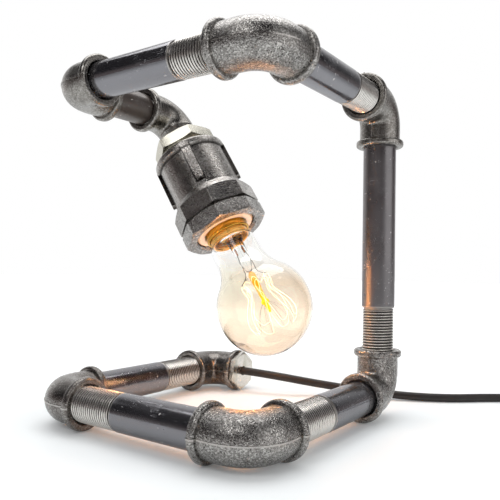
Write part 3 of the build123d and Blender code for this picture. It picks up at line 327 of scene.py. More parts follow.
# name, tones of the patches, grain, depth of the grain in metres, roughness, pepper
rough_casting = cast_iron(
    "rough_casting", (0.20, 0.19, 0.18), (0.26, 0.247, 0.235), 1500.0, 0.00017, 0.24, 1.0
)[0]
satin_casting = cast_iron(
    "satin_casting", (0.175, 0.162, 0.147), (0.24, 0.225, 0.206), 1400.0, 0.00009, 0.26, 0.55
)[0]
dark_casting = cast_iron(
    "dark_casting", (0.13, 0.115, 0.105), (0.19, 0.172, 0.16), 1500.0, 0.00008, 0.24, 0.5
)[0]
pebbled_casting = cast_iron(
    "pebbled_casting", (0.21, 0.195, 0.183), (0.29, 0.271, 0.256), 1150.0, 0.00022, 0.27, 1.0
)[0]
seam_iron = cast_iron(
    "seam_iron", (0.30, 0.28, 0.26), (0.42, 0.40, 0.38), 1300.0, 0.00010, 0.28, 0.5
)[0]

# the coupling has a finer skin, and its corners beside the ribs and under the bead are darkened
# with painted shade over dried oil
barrel_casting, tree, shader, skin_tone = cast_iron(
    "barrel_casting", (0.235, 0.217, 0.202), (0.29, 0.27, 0.253), 1350.0, 0.00010, 0.27, 0.75
)
# painted shade with dried oil: dark lines beside the ribs, across their ends and under the bead
inward = add(tree, "VectorMath", {0: object_spot(tree), 1: HEAD}, operation="SUBTRACT").outputs[0]
station, side_way, across_way = (
    add(tree, "VectorMath", {0: inward, 1: way}, operation="DOT_PRODUCT").outputs["Value"]
    for way in (HEAD_AXIS, Y, ACROSS)
)
round_way = math_of(tree, "ARCTAN2", across_way, side_way)
from_rib = math_of(tree, "SUBTRACT", round_way, RIB_ANGLE)
quarter = math_of(tree, "PINGPONG", from_rib, RIB_SPACING / 2)
from_middle = math_of(tree, "MULTIPLY", quarter, BARREL_R)
offset = math_of(tree, "ABSOLUTE", math_of(tree, "SUBTRACT", from_middle, RIB_HALF))
beside = between(tree, offset, 0.0002, 0.00065, 0.95, 0.0)
reached = math_of(tree, "LESS_THAN", station, RIB_END + 0.0004)
started = math_of(tree, "GREATER_THAN", station, COUPLING_TOP + 0.004)
line = math_of(tree, "MULTIPLY", math_of(tree, "MULTIPLY", beside, reached), started)
past_end = math_of(tree, "ABSOLUTE", math_of(tree, "SUBTRACT", station, RIB_END + 0.0003))
end_line = between(tree, past_end, 0.0003, 0.0010, 1.0, 0.0)
over_end = math_of(tree, "LESS_THAN", from_middle, RIB_HALF + 0.0004)
from_bead = math_of(tree, "ABSOLUTE", math_of(tree, "SUBTRACT", station, BEAD_END))
under_bead = between(tree, from_bead, 0.0003, 0.0012, 0.8, 0.0)
corner_line = math_of(tree, "MAXIMUM", line, math_of(tree, "MULTIPLY", end_line, over_end))
rib_shade_and_oil = math_of(tree, "MAXIMUM", corner_line, under_bead)
tree.links.new(mixed(tree, rib_shade_and_oil, skin_tone, RIB_SHADE_AND_OIL), shader.inputs["Base Color"])


BARE_STEEL = ((0.28, 0.27, 0.26), (0.52, 0.50, 0.48))
SCRATCH_TONE = (0.36, 0.36, 0.37)
CHIP_TONE = (0.50, 0.49, 0.47)


def lacquer(name, dark, light, smooth_spot, dull_spot, bending, sheen):
    """Black pipe lacquer over steel, with a ragged end, chips and hair scratches."""
    made, tree, shader = new_material(name, IOR=bending, Specular_Tint=sheen)
    paint = add(tree, "Attribute", attribute_name="paint").outputs["Fac"]
    ragged = noise(tree, object_spot(tree), 900.0, 3.0, 0.6)
    painted = between(tree, math_of(tree, "MULTIPLY_ADD", ragged, 0.9, paint), 0.92, 0.98)
    marks = use_group(tree, handling, scratches=0.9, chips=1.0)
    bare = math_of(tree, "SUBTRACT", 1.0, painted)
    steel_cloud = noise(tree, object_spot(tree), 600.0, 3.0)
    steel_tone = mixed(tree, steel_cloud, *BARE_STEEL)
    lacquer_tone = mixed(tree, noise(tree, object_spot(tree), 60.0), dark, light)
    scratched = mixed(tree, marks["Scratches"], lacquer_tone, SCRATCH_TONE)
    chipped = mixed(tree, marks["Chips"], scratched, CHIP_TONE)
    tree.links.new(mixed(tree, painted, steel_tone, chipped), shader.inputs["Base Color"])
    tree.links.new(bare, shader.inputs["Metallic"])
    smears = noise(tree, object_spot(tree), 45.0, 4.0, 0.65)
    smear = between(tree, smears, *CLOUD_SPAN, smooth_spot, dull_spot)
    damaged = math_of(tree, "MAXIMUM", marks["Scratches"], marks["Chips"])
    lacquer_rough = math_of(tree, "MULTIPLY_ADD", damaged, 0.35, smear)
    rough = math_of(tree, "MULTIPLY_ADD", bare, 0.16, lacquer_rough)
    tree.links.new(rough, shader.inputs["Roughness"])
    orange_peel = noise(tree, object_spot(tree), 260.0, 2.0)
    low_marks = math_of(tree, "MULTIPLY_ADD", damaged, -0.8, orange_peel)
    bump(tree, shader, math_of(tree, "MULTIPLY_ADD", painted, 0.8, low_marks), 0.00004, 0.7)
    return made


pipe_lacquer = lacquer(
    "pipe_lacquer",
    dark=(0.006, 0.006, 0.007),
    light=(0.015, 0.014, 0.015),
    smooth_spot=0.12,
    dull_spot=0.24,
    bending=2.8,
    sheen=(0.95, 0.94, 1.0),
)
upright_lacquer = lacquer(
    "upright_lacquer",
    dark=(0.009, 0.007, 0.008),
    light=(0.022, 0.018, 0.019),
    smooth_spot=0.26,
    dull_spot=0.38,
    bending=2.35,
    sheen=(1.0, 0.96, 0.98),
)
nipple_lacquer = lacquer(
    "nipple_lacquer",
    dark=(0.026, 0.019, 0.016),
    light=(0.048, 0.036, 0.030),
    smooth_spot=0.30,
    dull_spot=0.42,
    bending=1.9,
    sheen=(1.0, 0.93, 0.88),
)

thread_steel, tree, shader = new_material("thread_steel", Metallic=1.0)
# the thread's roots are darkened as painted shade with grime, and its crests stay bright steel
crest = add(tree, "Attribute", attribute_name="crest").outputs["Fac"]
grime = noise(tree, object_spot(tree), 420.0, 4.0, 0.65)
bright_crest = between(tree, math_of(tree, "MULTIPLY_ADD", grime, 0.55, crest), 0.58, 1.04)
steel_tone = mixed(tree, bright_crest, (0.030, 0.026, 0.023), (0.74, 0.71, 0.67))
tree.links.new(steel_tone, shader.inputs["Base Color"])
tree.links.new(between(tree, bright_crest, 0.0, 1.0, 0.55, 0.26), shader.inputs["Roughness"])
bump(tree, shader, noise(tree, object_spot(tree), 700.0, 2.0), 0.00003, 0.4)

nickel, tree, shader = new_material("nickel", Metallic=1.0)
spot = object_spot(tree)
cloud = noise(tree, spot, 90.0, 4.0, 0.6)
wear = use_group(tree, edge_wear_and_crease, start=0.52, end=0.60, breakup=0.4)["Wear"]
nickel_tone = mixed(tree, cloud, (0.50, 0.48, 0.41), (0.68, 0.66, 0.58))
tree.links.new(mixed(tree, wear, nickel_tone, (0.80, 0.77, 0.72)), shader.inputs["Base Color"])
tree.links.new(between(tree, cloud, *CLOUD_SPAN, 0.22, 0.33), shader.inputs["Roughness"])
bump(tree, shader, noise(tree, spot, 1300.0, 3.0, 0.6), 0.00005, 0.6)


def clouded(name, scale, dark, light, smooth_spot, dull_spot, grain=0.0, depth=0.0, **constants):
    """Finish whose tone and gloss drift together in clouds, over a fine grain if it has one."""
    made, tree, shader = new_material(name, **constants)
    cloud = noise(tree, object_spot(tree), scale, 3.0, 0.6)
    tree.links.new(mixed(tree, cloud, dark, light), shader.inputs["Base Color"])
    rough = between(tree, cloud, *CLOUD_SPAN, smooth_spot, dull_spot)
    tree.links.new(rough, shader.inputs["Roughness"])
    if grain:
        bump(tree, shader, noise(tree, object_spot(tree), grain, 2.0), depth, 0.5)
    return made


brass = clouded(
    "brass",
    160.0,
    dark=(0.50, 0.265, 0.030),
    light=(0.78, 0.475, 0.085),
    smooth_spot=0.18,
    dull_spot=0.30,
    grain=1800.0,
    depth=0.00003,
    Metallic=1.0,
)
# lacquered brass of the neck collar, which the lamp lights from inside
gilt = clouded(
    "gilt",
    190.0,
    dark=(0.66, 0.36, 0.06),
    light=(0.90, 0.58, 0.16),
    smooth_spot=0.24,
    dull_spot=0.38,
    grain=1500.0,
    depth=0.00003,
    Metallic=0.55,
    Coat_Weight=0.5,
    Coat_Roughness=0.1,
)
bright_steel = clouded(
    "bright_steel",
    300.0,
    dark=(0.42, 0.41, 0.40),
    light=(0.62, 0.61, 0.60),
    smooth_spot=0.20,
    dull_spot=0.34,
    grain=2200.0,
    depth=0.00002,
    Metallic=1.0,
)
dark_wire = clouded(
    "dark_wire",
    500.0,
    dark=(0.05, 0.038, 0.030),
    light=(0.15, 0.12, 0.10),
    smooth_spot=0.26,
    dull_spot=0.42,
    Metallic=1.0,
)
copper = clouded(
    "copper",
    700.0,
    dark=(0.20, 0.075, 0.03),
    light=(0.46, 0.20, 0.09),
    smooth_spot=0.22,
    dull_spot=0.36,
    Metallic=1.0,
)

porcelain, tree, shader = new_material("porcelain", Coat_Weight=0.6, Coat_Roughness=0.08)
cloud = noise(tree, object_spot(tree), 120.0, 3.0)
glaze = mixed(tree, cloud, (0.78, 0.69, 0.55), (0.86, 0.79, 0.67))
tree.links.new(glaze, shader.inputs["Base Color"])
tree.links.new(between(tree, cloud, *CLOUD_SPAN, 0.25, 0.38), shader.inputs["Roughness"])
bump(tree, shader, noise(tree, object_spot(tree), 700.0, 3.0), 0.00004, 0.5)


def moulded(name, dark, light, roughness, grain=2600.0, depth=0.00004):
    """Moulded plastic or rubber with a fine matt grain."""
    made, tree, shader = new_material(name)
    spot = object_spot(tree)
    cloud = noise(tree, spot, 110.0, 3.0)
    tree.links.new(mixed(tree, cloud, dark, light), shader.inputs["Base Color"])
    smears = noise(tree, spot, 240.0, 3.0)
    rough = between(tree, smears, *CLOUD_SPAN, roughness - 0.05, roughness + 0.07)
    tree.links.new(rough, shader.inputs["Roughness"])
    bump(tree, shader, noise(tree, spot, grain, 2.0), depth, 0.6)
    return made


black_plastic = moulded("black_plastic", (0.012, 0.012, 0.013), (0.022, 0.022, 0.023), 0.38)
cord_sheath = moulded("cord_sheath", (0.012, 0.009, 0.008), (0.022, 0.017, 0.015), 0.50, 1700.0)
black_rubber = moulded("black_rubber", (0.018, 0.017, 0.016), (0.030, 0.029, 0.028), 0.62, 1900.0)
brown_core = moulded("brown_core", (0.10, 0.035, 0.015), (0.15, 0.055, 0.022), 0.40)
blue_core = moulded("blue_core", (0.02, 0.07, 0.25), (0.03, 0.10, 0.34), 0.40)
green_core = moulded("green_core", (0.04, 0.22, 0.03), (0.55, 0.50, 0.03), 0.40)
black_glass = moulded(
    "black_glass", (0.010, 0.010, 0.011), (0.020, 0.020, 0.022), 0.14, 900.0, 0.00002
)


def clear_material(name, tone, bending):
    """Glass that lets lamp light through instead of throwing a hard shadow."""
    made, tree, shader = new_material(
        name, Metallic=0.0, Roughness=0.0, IOR=bending, Transmission_Weight=1.0
    )
    shader.inputs["Base Color"].default_value = (*tone, 1.0)
    clear = add(tree, "BsdfTransparent", {"Color": (*tone, 1.0)})
    ray = add(tree, "LightPath").outputs["Is Shadow Ray"]
    either = add(tree, "MixShader", {0: ray, 1: shader.outputs[0], 2: clear.outputs[0]})
    tree.links.new(either.outputs[0], tree.nodes["Material Output"].inputs["Surface"])
    return made, tree, shader


# the tint deepens towards the rim and the foot of the bulb, and its neck is nearly clear
amber_glass, tree, shader = clear_material("amber_glass", (0.97, 0.91, 0.79), 1.40)
ripple = noise(tree, object_spot(tree), 38.0, 2.0)
bump(tree, shader, ripple, 0.0006, 0.10)
place = add(tree, "SeparateXYZ", {0: object_spot(tree)}).outputs
tinted = between(tree, place["X"], -0.010, 0.040)
lightly = mixed(tree, tinted, (0.922, 0.89, 0.79), (0.94, 0.845, 0.735))
low = between(tree, place["Z"], 0.085, 0.045)
body_tone = mixed(tree, low, lightly, (0.935, 0.828, 0.72))
neck = between(tree, place["Z"], 0.086, 0.104)
tone = mixed(tree, neck, body_tone, (0.99, 0.985, 0.97))
facing = add(tree, "LayerWeight", {"Blend": 0.5}).outputs["Facing"]
rim = between(tree, facing, 0.62, 0.95, 0.0, 0.8)
tree.links.new(mixed(tree, rim, tone, (0.93, 0.84, 0.69)), shader.inputs["Base Color"])
clear_glass, tree, shader = clear_material("clear_glass", (0.97, 0.985, 0.98), 1.16)

glow, tree, shader = new_material("glow", Roughness=0.5, Emission_Strength=3.0)
shader.inputs["Base Color"].default_value = (0.9, 0.7, 0.3, 1.0)
hot = noise(tree, object_spot(tree), 220.0, 2.0)
fire = mixed(tree, hot, (1.0, 0.78, 0.40), (1.0, 0.92, 0.62))
tree.links.new(fire, shader.inputs["Emission Color"])

# glass rod in the middle of the bulb, with the filament's light painted on it as glow: orange at
# its root, yellow where the cage is densest
rod_painted_glow, tree, shader = new_material(
    "rod_painted_glow", Roughness=0.3, Specular_IOR_Level=0.1, Emission_Strength=0.45
)
height = add(tree, "SeparateXYZ", {0: object_spot(tree)}).outputs["Z"]
towards_cage = between(tree, height, 0.0815, 0.0725)
rod_glow_tone = mixed(tree, towards_cage, (0.78, 0.33, 0.002), (0.95, 0.78, 0.02))
grain = noise(tree, object_spot(tree), 900.0, 2.0)
streaky_glow = mixed(tree, between(tree, grain, *CLOUD_SPAN, 0.0, 0.35), rod_glow_tone, (0.85, 0.45, 0.02))
tree.links.new(streaky_glow, shader.inputs["Base Color"])
tree.links.new(rod_glow_tone, shader.inputs["Emission Color"])

finishes = {
    "casting": satin_casting,
    "pipe": pipe_lacquer,
    "nickel": nickel,
    "rubber": black_rubber,
    "cord": cord_sheath,
    "black_plastic": black_plastic,
    "steel": bright_steel,
    "brass": brass,
    "porcelain": porcelain,
    "black_glass": black_glass,
    "core_brown": brown_core,
    "core_blue": blue_core,
    "core_green": green_core,
    "amber_glass": amber_glass,
    "clear_glass": clear_glass,
    "wire": bright_steel,
    "filament": glow,
}
for node in nodes.values():
    for holder in node.material_slots:
        holder.material = finishes[holder.material.name]
castings = {
    "front_elbow": rough_casting,
    "top_front_elbow": rough_casting,
    "base_riser_elbow": pebbled_casting,
    "back_left_elbow": dark_casting,
    "left_elbow": dark_casting,
}
for name, casting in castings.items():
    nodes[name].material_slots[0].material = casting


# ======================================================================================
# modelling
# ======================================================================================
def deselect():
    """Leave nothing selected."""
    bpy.ops.object.select_all(action="DESELECT")


def pick(piece):
    """Select one piece alone and make it active."""
    deselect()
    piece.select_set(True)
    bpy.context.view_layer.objects.active = piece


def set_down(piece, start, along):
    """Carry a piece made on the Z axis to its place, and leave its object at the origin."""
    facing = along.to_track_quat("Z", "Y").to_matrix().to_4x4()
    piece.matrix_world = Matrix.Translation(start) @ facing
    bpy.ops.object.transform_apply(location=True, rotation=True, scale=True)


def turned(name, outline, sides=72):
    """Draw a ring out along Z, step by step, round a closed outline of (radius, height)."""
    deselect()
    radius, height = outline[0]
    bpy.ops.mesh.primitive_circle_add(
        vertices=sides, radius=radius, location=(0, 0, 0), enter_editmode=True
    )
    bpy.ops.transform.translate(value=(0, 0, height))
    for radius_next, height_next in outline[1:] + outline[:1]:
        rise = (0, 0, height_next - height)
        bpy.ops.mesh.extrude_edges_move(TRANSFORM_OT_translate={"value": rise})
        grow = radius_next / radius
        bpy.ops.transform.resize(value=(grow, grow, 1))
        radius, height = radius_next, height_next
    bpy.ops.mesh.select_all(action="SELECT")
    bpy.ops.mesh.remove_doubles(threshold=SAME_SPOT)
    bpy.ops.mesh.normals_make_consistent(inside=False)
    bpy.ops.object.mode_set(mode="OBJECT")
    piece = bpy.context.object
    piece.name = name
    return piece


# one turn of a V thread with a rounded crest: shares of its depth outwards and of its pitch
THREAD_STEPS = ((0.90, 0.40), (0.10, 0.06), (0.0, 0.08), (-0.10, 0.06), (-0.90, 0.40))
RUN_OUT_TURNS = 1.3
SUNK = 0.985


def cut_thread(bottom, top, root, crest, sides=64):
    """Winding V thread between two heights on the Z axis, which sinks away at both ends."""
    deselect()
    bpy.ops.mesh.primitive_plane_add(size=PITCH, enter_editmode=True)
    bpy.ops.mesh.merge(type="CENTER")
    bpy.ops.transform.translate(value=(root, 0, bottom))
    flank = crest - root
    for out_share, rise_share in THREAD_STEPS:
        step = (flank * out_share, 0, PITCH * rise_share)
        bpy.ops.mesh.extrude_vertices_move(TRANSFORM_OT_translate={"value": step})
    bpy.ops.object.mode_set(mode="OBJECT")
    thread = bpy.context.object
    screw = thread.modifiers.new("turns", "SCREW")
    screw.steps = screw.render_steps = sides
    screw.screw_offset = PITCH
    screw.iterations = max(1, round((top - bottom) / PITCH) - 1)
    screw.use_merge_vertices = True
    screw.use_normal_calculate = True
    bpy.ops.object.modifier_apply(modifier="turns")
    bpy.ops.object.mode_set(mode="EDIT")
    bpy.ops.mesh.select_all(action="SELECT")
    bpy.ops.mesh.remove_doubles(threshold=SAME_SPOT)
    bpy.ops.mesh.normals_make_consistent(inside=False)
    bpy.ops.object.mode_set(mode="OBJECT")
    outward = sum(
        face.normal.dot(Vector((face.center.x, face.center.y, 0)))
        for face in thread.data.polygons
    )
    if outward < 0:
        thread.data.flip_normals()
    for vertex in thread.data.vertices:
        end = min(vertex.co.z - bottom, top - vertex.co.z)
        sink = max(0.0, 1.0 - max(0.0, end) / (RUN_OUT_TURNS * PITCH))
        squeeze = 1 - sink * (1 - root * SUNK / crest)
        vertex.co.x *= squeeze
        vertex.co.y *= squeeze
    return thread


def join(first, *others):
    """Make several pieces one, which is the first."""
    deselect()
    for piece in (*others, first):
        piece.select_set(True)
    bpy.context.view_layer.objects.active = first
    bpy.ops.object.join()


def smooth(piece, angle):
    """Smooth shading, with edges over an angle in degrees kept sharp."""
    pick(piece)
    bpy.ops.object.shade_smooth_by_angle(angle=math.radians(angle))


# how far a pipe's end stays from the corner point of its fitting
PIPE_INSET = 0.0155


def threaded_pipe(name, body, start, end, bare, finish=pipe_lacquer):
    """Lacquered pipe: bare cut thread at its start, lacquer, and a short thread at its end."""
    span = (end - start).length
    inset = PIPE_INSET
    lacquer_from = REACH + bare
    lacquer_to = span - REACH + 0.001
    core = ROOT_R + 0.00002
    band = 0.0008 if bare > 0 else 0.0
    outline = [
        (BORE_R, inset),
        (core - 0.0004, inset),
        (core, inset + 0.0005),
        (core, lacquer_from - band - 0.0004),
        (PIPE_R - 0.00012, lacquer_from - band),
        (PIPE_R - 0.00006, lacquer_from - 0.0004),
        (PIPE_R, lacquer_from + 0.0003),
        (PIPE_R, lacquer_from + 0.003),
        (PIPE_R, lacquer_to - 0.003),
        (PIPE_R, lacquer_to - 0.0003),
        (core, lacquer_to + 0.0004),
        (core, span - inset - 0.0005),
        (core - 0.0004, span - inset),
        (BORE_R, span - inset),
    ]
    tube = turned(name, outline)
    near = cut_thread(inset + 0.0004, lacquer_from - band + 0.0006, ROOT_R, CREST_R)
    far = cut_thread(lacquer_to - 0.0008, span - inset - 0.0004, ROOT_R, CREST_R)
    tube.data.materials.append(finish)
    for thread in (near, far):
        thread.data.materials.append(thread_steel)
    join(tube, near, far)
    paint = tube.data.attributes.new("paint", "FLOAT", "POINT")
    crest = tube.data.attributes.new("crest", "FLOAT", "POINT")
    for vertex in tube.data.vertices:
        radius = math.hypot(vertex.co.x, vertex.co.y)
        on_body = lacquer_from <= vertex.co.z <= lacquer_to and radius > PIPE_R - 0.00008
        paint.data[vertex.index].value = 1.0 if on_body else 0.0
        crest.data[vertex.index].value = (radius - ROOT_R) / (CREST_R - ROOT_R)
    set_down(tube, start, (end - start).normalized())
    smooth(tube, 30)
    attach(tube, body)
    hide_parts(name)
    tube.name = name + "_threaded"


# each with the length of bare thread that stands out of its first fitting
threaded_pipe("back_pipe", "base", BACK_LEFT, FRONT_LEFT, 0.033)
threaded_pipe("front_pipe", "base", FRONT_LEFT, FRONT_RIGHT, 0.0305)
threaded_pipe("side_pipe", "base", FRONT_RIGHT, RISER, 0.038)
threaded_pipe("upright_pipe", "arm", RISER, TOP_RISER, 0.0285, upright_lacquer)
threaded_pipe("top_side_pipe", "arm", TOP_RISER, TOP_FRONT, 0.0265)
threaded_pipe("top_front_pipe", "arm", TOP_FRONT, TOP_LEFT, 0.027)
threaded_pipe("head_nipple", "arm", TOP_LEFT, HEAD, -0.001, nipple_lacquer)


def skin_of(node_name):
    """Merged copy of a metal part's own mesh, ready to be worked on."""
    copy = nodes[node_name].copy()
    copy.data = nodes[node_name].data.copy()
    copy.parent = None
    for key in list(copy.keys()):
        if key.startswith("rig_"):
            del copy[key]
    bpy.context.scene.collection.objects.link(copy)
    pick(copy)
    bpy.ops.mesh.customdata_custom_splitnormals_clear()
    bpy.ops.object.mode_set(mode="EDIT")
    bpy.ops.mesh.select_all(action="SELECT")
    bpy.ops.mesh.remove_doubles(threshold=SAME_SPOT / 2)
    bpy.ops.object.mode_set(mode="OBJECT")
    return copy


# share of a flat end's normal that lies along its leg
FACES_ALONG = 0.97
# lowest point that a ridge under the lamp may reach
FLOOR_GAP = 0.0001


def casting_seam(node_name, body, corner, leg_a, leg_b, half=0.00042, height=0.00075):
    """Ridge that the two halves of the mould leave round an elbow, raised from its own skin."""
    ridge = skin_of(node_name)
    side = leg_a.cross(leg_b)
    bpy.ops.object.mode_set(mode="EDIT")
    for sign in (1, -1):
        bpy.ops.mesh.select_all(action="SELECT")
        bpy.ops.mesh.bisect(
            plane_co=corner + side * sign * half,
            plane_no=side * sign,
            clear_outer=True,
            clear_inner=False,
        )
    bpy.ops.mesh.select_all(action="DESELECT")
    bpy.ops.object.mode_set(mode="OBJECT")
    for face in ridge.data.polygons:
        spot = face.center - corner
        along_a, along_b = spot.dot(leg_a), spot.dot(leg_b)
        if along_a > BEND_R:
            depth = abs(along_b)
        elif along_b > BEND_R:
            depth = abs(along_a)
        else:
            depth = abs(math.hypot(along_a - BEND_R, along_b - BEND_R) - BEND_R)
        along_leg = max(abs(face.normal.dot(leg_a)), abs(face.normal.dot(leg_b)))
        at_end = max(along_a, along_b) > REACH - 0.0002
        inside = depth < BODY_R - 0.0006
        face.select = inside or (along_leg > FACES_ALONG and at_end)
    bpy.ops.object.mode_set(mode="EDIT")
    bpy.ops.mesh.delete(type="FACE")
    bpy.ops.object.mode_set(mode="OBJECT")
    raised = ridge.modifiers.new("raised", "SOLIDIFY")
    raised.thickness = height
    raised.offset = 0.0
    bpy.ops.object.modifier_apply(modifier="raised")
    for vertex in ridge.data.vertices:
        vertex.co.z = max(vertex.co.z, FLOOR_GAP)
    ridge.name = node_name + "_seam"
    ridge.data.materials.clear()
    ridge.data.materials.append(seam_iron)
    smooth(ridge, 50)
    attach(ridge, body)


for name, body, corner, leg_a, leg_b in (
    ("back_left_elbow", "base", BACK_LEFT, -Y, X),
    ("left_elbow", "base", FRONT_LEFT, X, Y),
    ("front_elbow", "base", FRONT_RIGHT, -X, Y),
    ("base_riser_elbow", "base", RISER, -Y, Z),
    ("top_corner_elbow", "arm", TOP_RISER, -Z, -Y),
    ("top_front_elbow", "arm", TOP_FRONT, Y, -X),
    ("top_left_elbow", "arm", TOP_LEFT, X, Y),
    ("street_elbow", "head", HEAD, -Y, HEAD_AXIS),
):
    casting_seam(name, body, corner, leg_a, leg_b)


# faces that differ by less than this many degrees are one flat face
FLAT_WITHIN = 0.4


def eased(node_name, body, width, finish, slot, sharp=32):
    """Copy of a part with every sharp edge rounded over, in place of the part itself."""
    piece = skin_of(node_name)
    bpy.ops.object.mode_set(mode="EDIT")
    bpy.ops.mesh.select_all(action="SELECT")
    bpy.ops.mesh.dissolve_limited(angle_limit=math.radians(FLAT_WITHIN))
    bpy.ops.object.mode_set(mode="OBJECT")
    rounding = piece.modifiers.new("rounding", "BEVEL")
    rounding.width = width
    rounding.segments = 3
    rounding.limit_method = "ANGLE"
    rounding.angle_limit = math.radians(sharp)
    rounding.harden_normals = False
    bpy.ops.object.modifier_apply(modifier="rounding")
    piece.name = node_name + "_eased"
    piece.data.materials.clear()
    piece.data.materials.append(finish)
    smooth(piece, 60)
    flat = piece.modifiers.new("flat", "WEIGHTED_NORMAL")
    flat.keep_sharp = True
    flat.weight = 100
    bpy.ops.object.modifier_apply(modifier="flat")
    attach(piece, body)
    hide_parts(node_name)


eased("cord_gland", "base", 0.00025, nickel, "nickel")
eased("head_hex_bush", "head", 0.00030, nickel, "nickel")
eased("octagon_bush", "head", 0.00045, pebbled_casting, "casting")
eased("ribbed_coupling", "head", 0.00045, barrel_casting, "casting")


# ---- inside of the bulb ------------------------------------------------------------------
def wire(name, runs, radius, finish, body="head"):
    """Round wire along smooth runs of points, made a mesh."""
    line = bpy.data.curves.new(name + "_line", "CURVE")
    line.dimensions = "3D"
    for points in runs:
        run = line.splines.new("NURBS")
        run.points.add(len(points) - 1)
        for point, spot in zip(run.points, points):
            point.co = (*spot, 1.0)
        run.order_u = 3
        run.use_endpoint_u = True
    line.resolution_u = 5
    line.bevel_depth = radius
    line.bevel_resolution = 1
    line.use_fill_caps = True
    made = bpy.data.objects.new(name, line)
    bpy.context.scene.collection.objects.link(made)
    pick(made)
    bpy.ops.object.convert(target="MESH")
    made = bpy.context.object
    made.data.materials.clear()
    made.data.materials.append(finish)
    smooth(made, 60)
    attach(made, body)
    return made


def petal_point(angle, reach, station):
    """A point round the head's axis, from its angle, its distance out and its place along."""
    return head_point(reach * math.cos(angle), reach * math.sin(angle), station)


# the mount stands 2 mm off the head's axis
MOUNT_OFF = (Y * 0.499 + ACROSS * 0.866) * 0.0020
# how much further down each loop of the filament hangs
LOOP_DROPS = (0.0, 0.0030, 0.0008, 0.0036, 0.0014, 0.0028, 0.0004, 0.0020)
LOOPS = len(LOOP_DROPS)
FIRST_LOOP = 0.2
half_way = math.pi / LOOPS
petals = []
hooks = []
for loop, drop in enumerate(LOOP_DROPS):
    first_side = 2 * math.pi * loop / LOOPS + FIRST_LOOP
    # angle, distance from the axis and place along it, down one side of the loop
    side_down = (
        (-0.30, 0.0074, 0.1430 + drop),
        (-0.12, 0.0096, 0.1398 + drop),
        (0.16, 0.0106, 0.1432 + drop),
        (0.10, 0.0086, 0.1488 + drop),
        (-0.10, 0.0104, 0.1540),
        (0.02, 0.0148, 0.1612),
        (0.10, 0.0168, 0.1690),
        (0.20, 0.0148, 0.1748),
    )
    run = [petal_point(first_side + angle, reach, station) for angle, reach, station in side_down]
    foot = petal_point(first_side + half_way, 0.0104 + drop, 0.1776 - drop)
    run.append(foot)
    for angle, reach, station in reversed(side_down):
        run.append(petal_point(first_side + 2 * half_way - angle, reach, station))
    petals.append([point + MOUNT_OFF for point in run])
    upper = (
        petal_point(first_side - 0.1, 0.0012, 0.1376),
        petal_point(first_side - 0.1, 0.0080, 0.1372 + drop),
        run[1],
    )
    lower = (
        petal_point(first_side + half_way, 0.0020, 0.1584),
        petal_point(first_side + half_way, 0.0090, 0.1640),
        foot,
    )
    hooks.extend([point + MOUNT_OFF for point in hook] for hook in (upper, lower))
cage = wire("filament_petals", petals, 0.00010, glow)
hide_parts("filament")
supports = wire("filament_hooks", hooks, 0.00008, dark_wire)
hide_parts("filament_supports")

# outlines of the turned pieces: radius, and distance down the head's axis
glass_outline = [
    (0.0004, 0.1050),
    (0.0115, 0.1047),
    (0.0112, 0.1053),
    (0.0068, 0.1088),
    (0.0050, 0.1135),
    (0.0047, 0.1200),
    (0.0040, 0.1265),
    (0.0031, 0.1318),
    (0.0016, 0.1345),
    (0.0004, 0.1352),
]
stem_glass = turned("stem_press", glass_outline, 40)
rod_outline = [
    (0.0003, 0.1350),
    (0.0016, 0.1356),
    (0.0025, 0.1374),
    (0.0022, 0.1450),
    (0.0017, 0.1540),
    (0.0017, 0.1562),
    (0.0027, 0.1572),
    (0.0027, 0.1586),
    (0.0015, 0.1598),
    (0.0011, 0.1640),
    (0.0006, 0.1654),
    (0.0002, 0.1656),
]
stem_rod = turned("stem_rod", rod_outline, 32)
for piece, finish in ((stem_glass, clear_glass), (stem_rod, rod_painted_glow)):
    piece.data.materials.append(finish)
    pick(piece)
    set_down(piece, HEAD + MOUNT_OFF, HEAD_AXIS)
    smooth(piece, 60)
    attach(piece, "head")
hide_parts("glass_stem")

# the two lead wires: side of the mount, and distances from its axis at foot, shoulder and hook
LEADS = ((-1.0, 0.0022, 0.0034, 0.0092), (1.0, 0.0022, 0.0044, 0.0098))
lead_runs = []
for side, foot, shoulder, hook in LEADS:
    spread = (
        (0.1100, foot),
        (0.1190, foot),
        (0.1300, shoulder),
        (0.1385, shoulder),
        (0.1412, hook),
    )
    lead_runs.append(
        [
            head_point(0.50 * side * reach, 0.87 * side * reach, station) + MOUNT_OFF
            for station, reach in spread
        ]
    )
leads = wire("lead_wires_bent", lead_runs, 0.00026, dark_wire)
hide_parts("lead_wires")

# brass collar in the neck that screens the seal from the heat
collar_outline = [
    (0.0129, 0.1035),
    (0.0133, 0.1035),
    (0.0133, 0.1060),
    (0.0125, 0.1065),
    (0.0125, 0.1086),
    (0.0130, 0.1090),
    (0.0131, 0.1096),
    (0.0127, 0.1100),
    (0.0121, 0.1095),
    (0.0121, 0.1064),
    (0.0129, 0.1058),
]
collar = turned("neck_collar", collar_outline, 72)
collar.data.materials.append(gilt)
set_down(collar, HEAD, HEAD_AXIS)
smooth(collar, 40)
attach(collar, "head")

# copper sleeves on the lead wires, beside the pressed glass
sleeve_outline = [
    (0.00027, 0.1165),
    (0.00055, 0.1168),
    (0.00068, 0.1180),
    (0.00060, 0.1196),
    (0.00048, 0.1215),
    (0.00027, 0.1218),
]
sleeve_off = Y * 0.0011 + ACROSS * 0.0019
sleeves = []
for side in (-1.0, 1.0):
    sleeve = turned("lead_sleeve", sleeve_outline, 20)
    sleeve.data.materials.append(copper)
    set_down(sleeve, HEAD + MOUNT_OFF + sleeve_off * side, HEAD_AXIS)
    sleeves.append(sleeve)
join(*sleeves)
smooth(sleeves[0], 50)
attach(sleeves[0], "head")

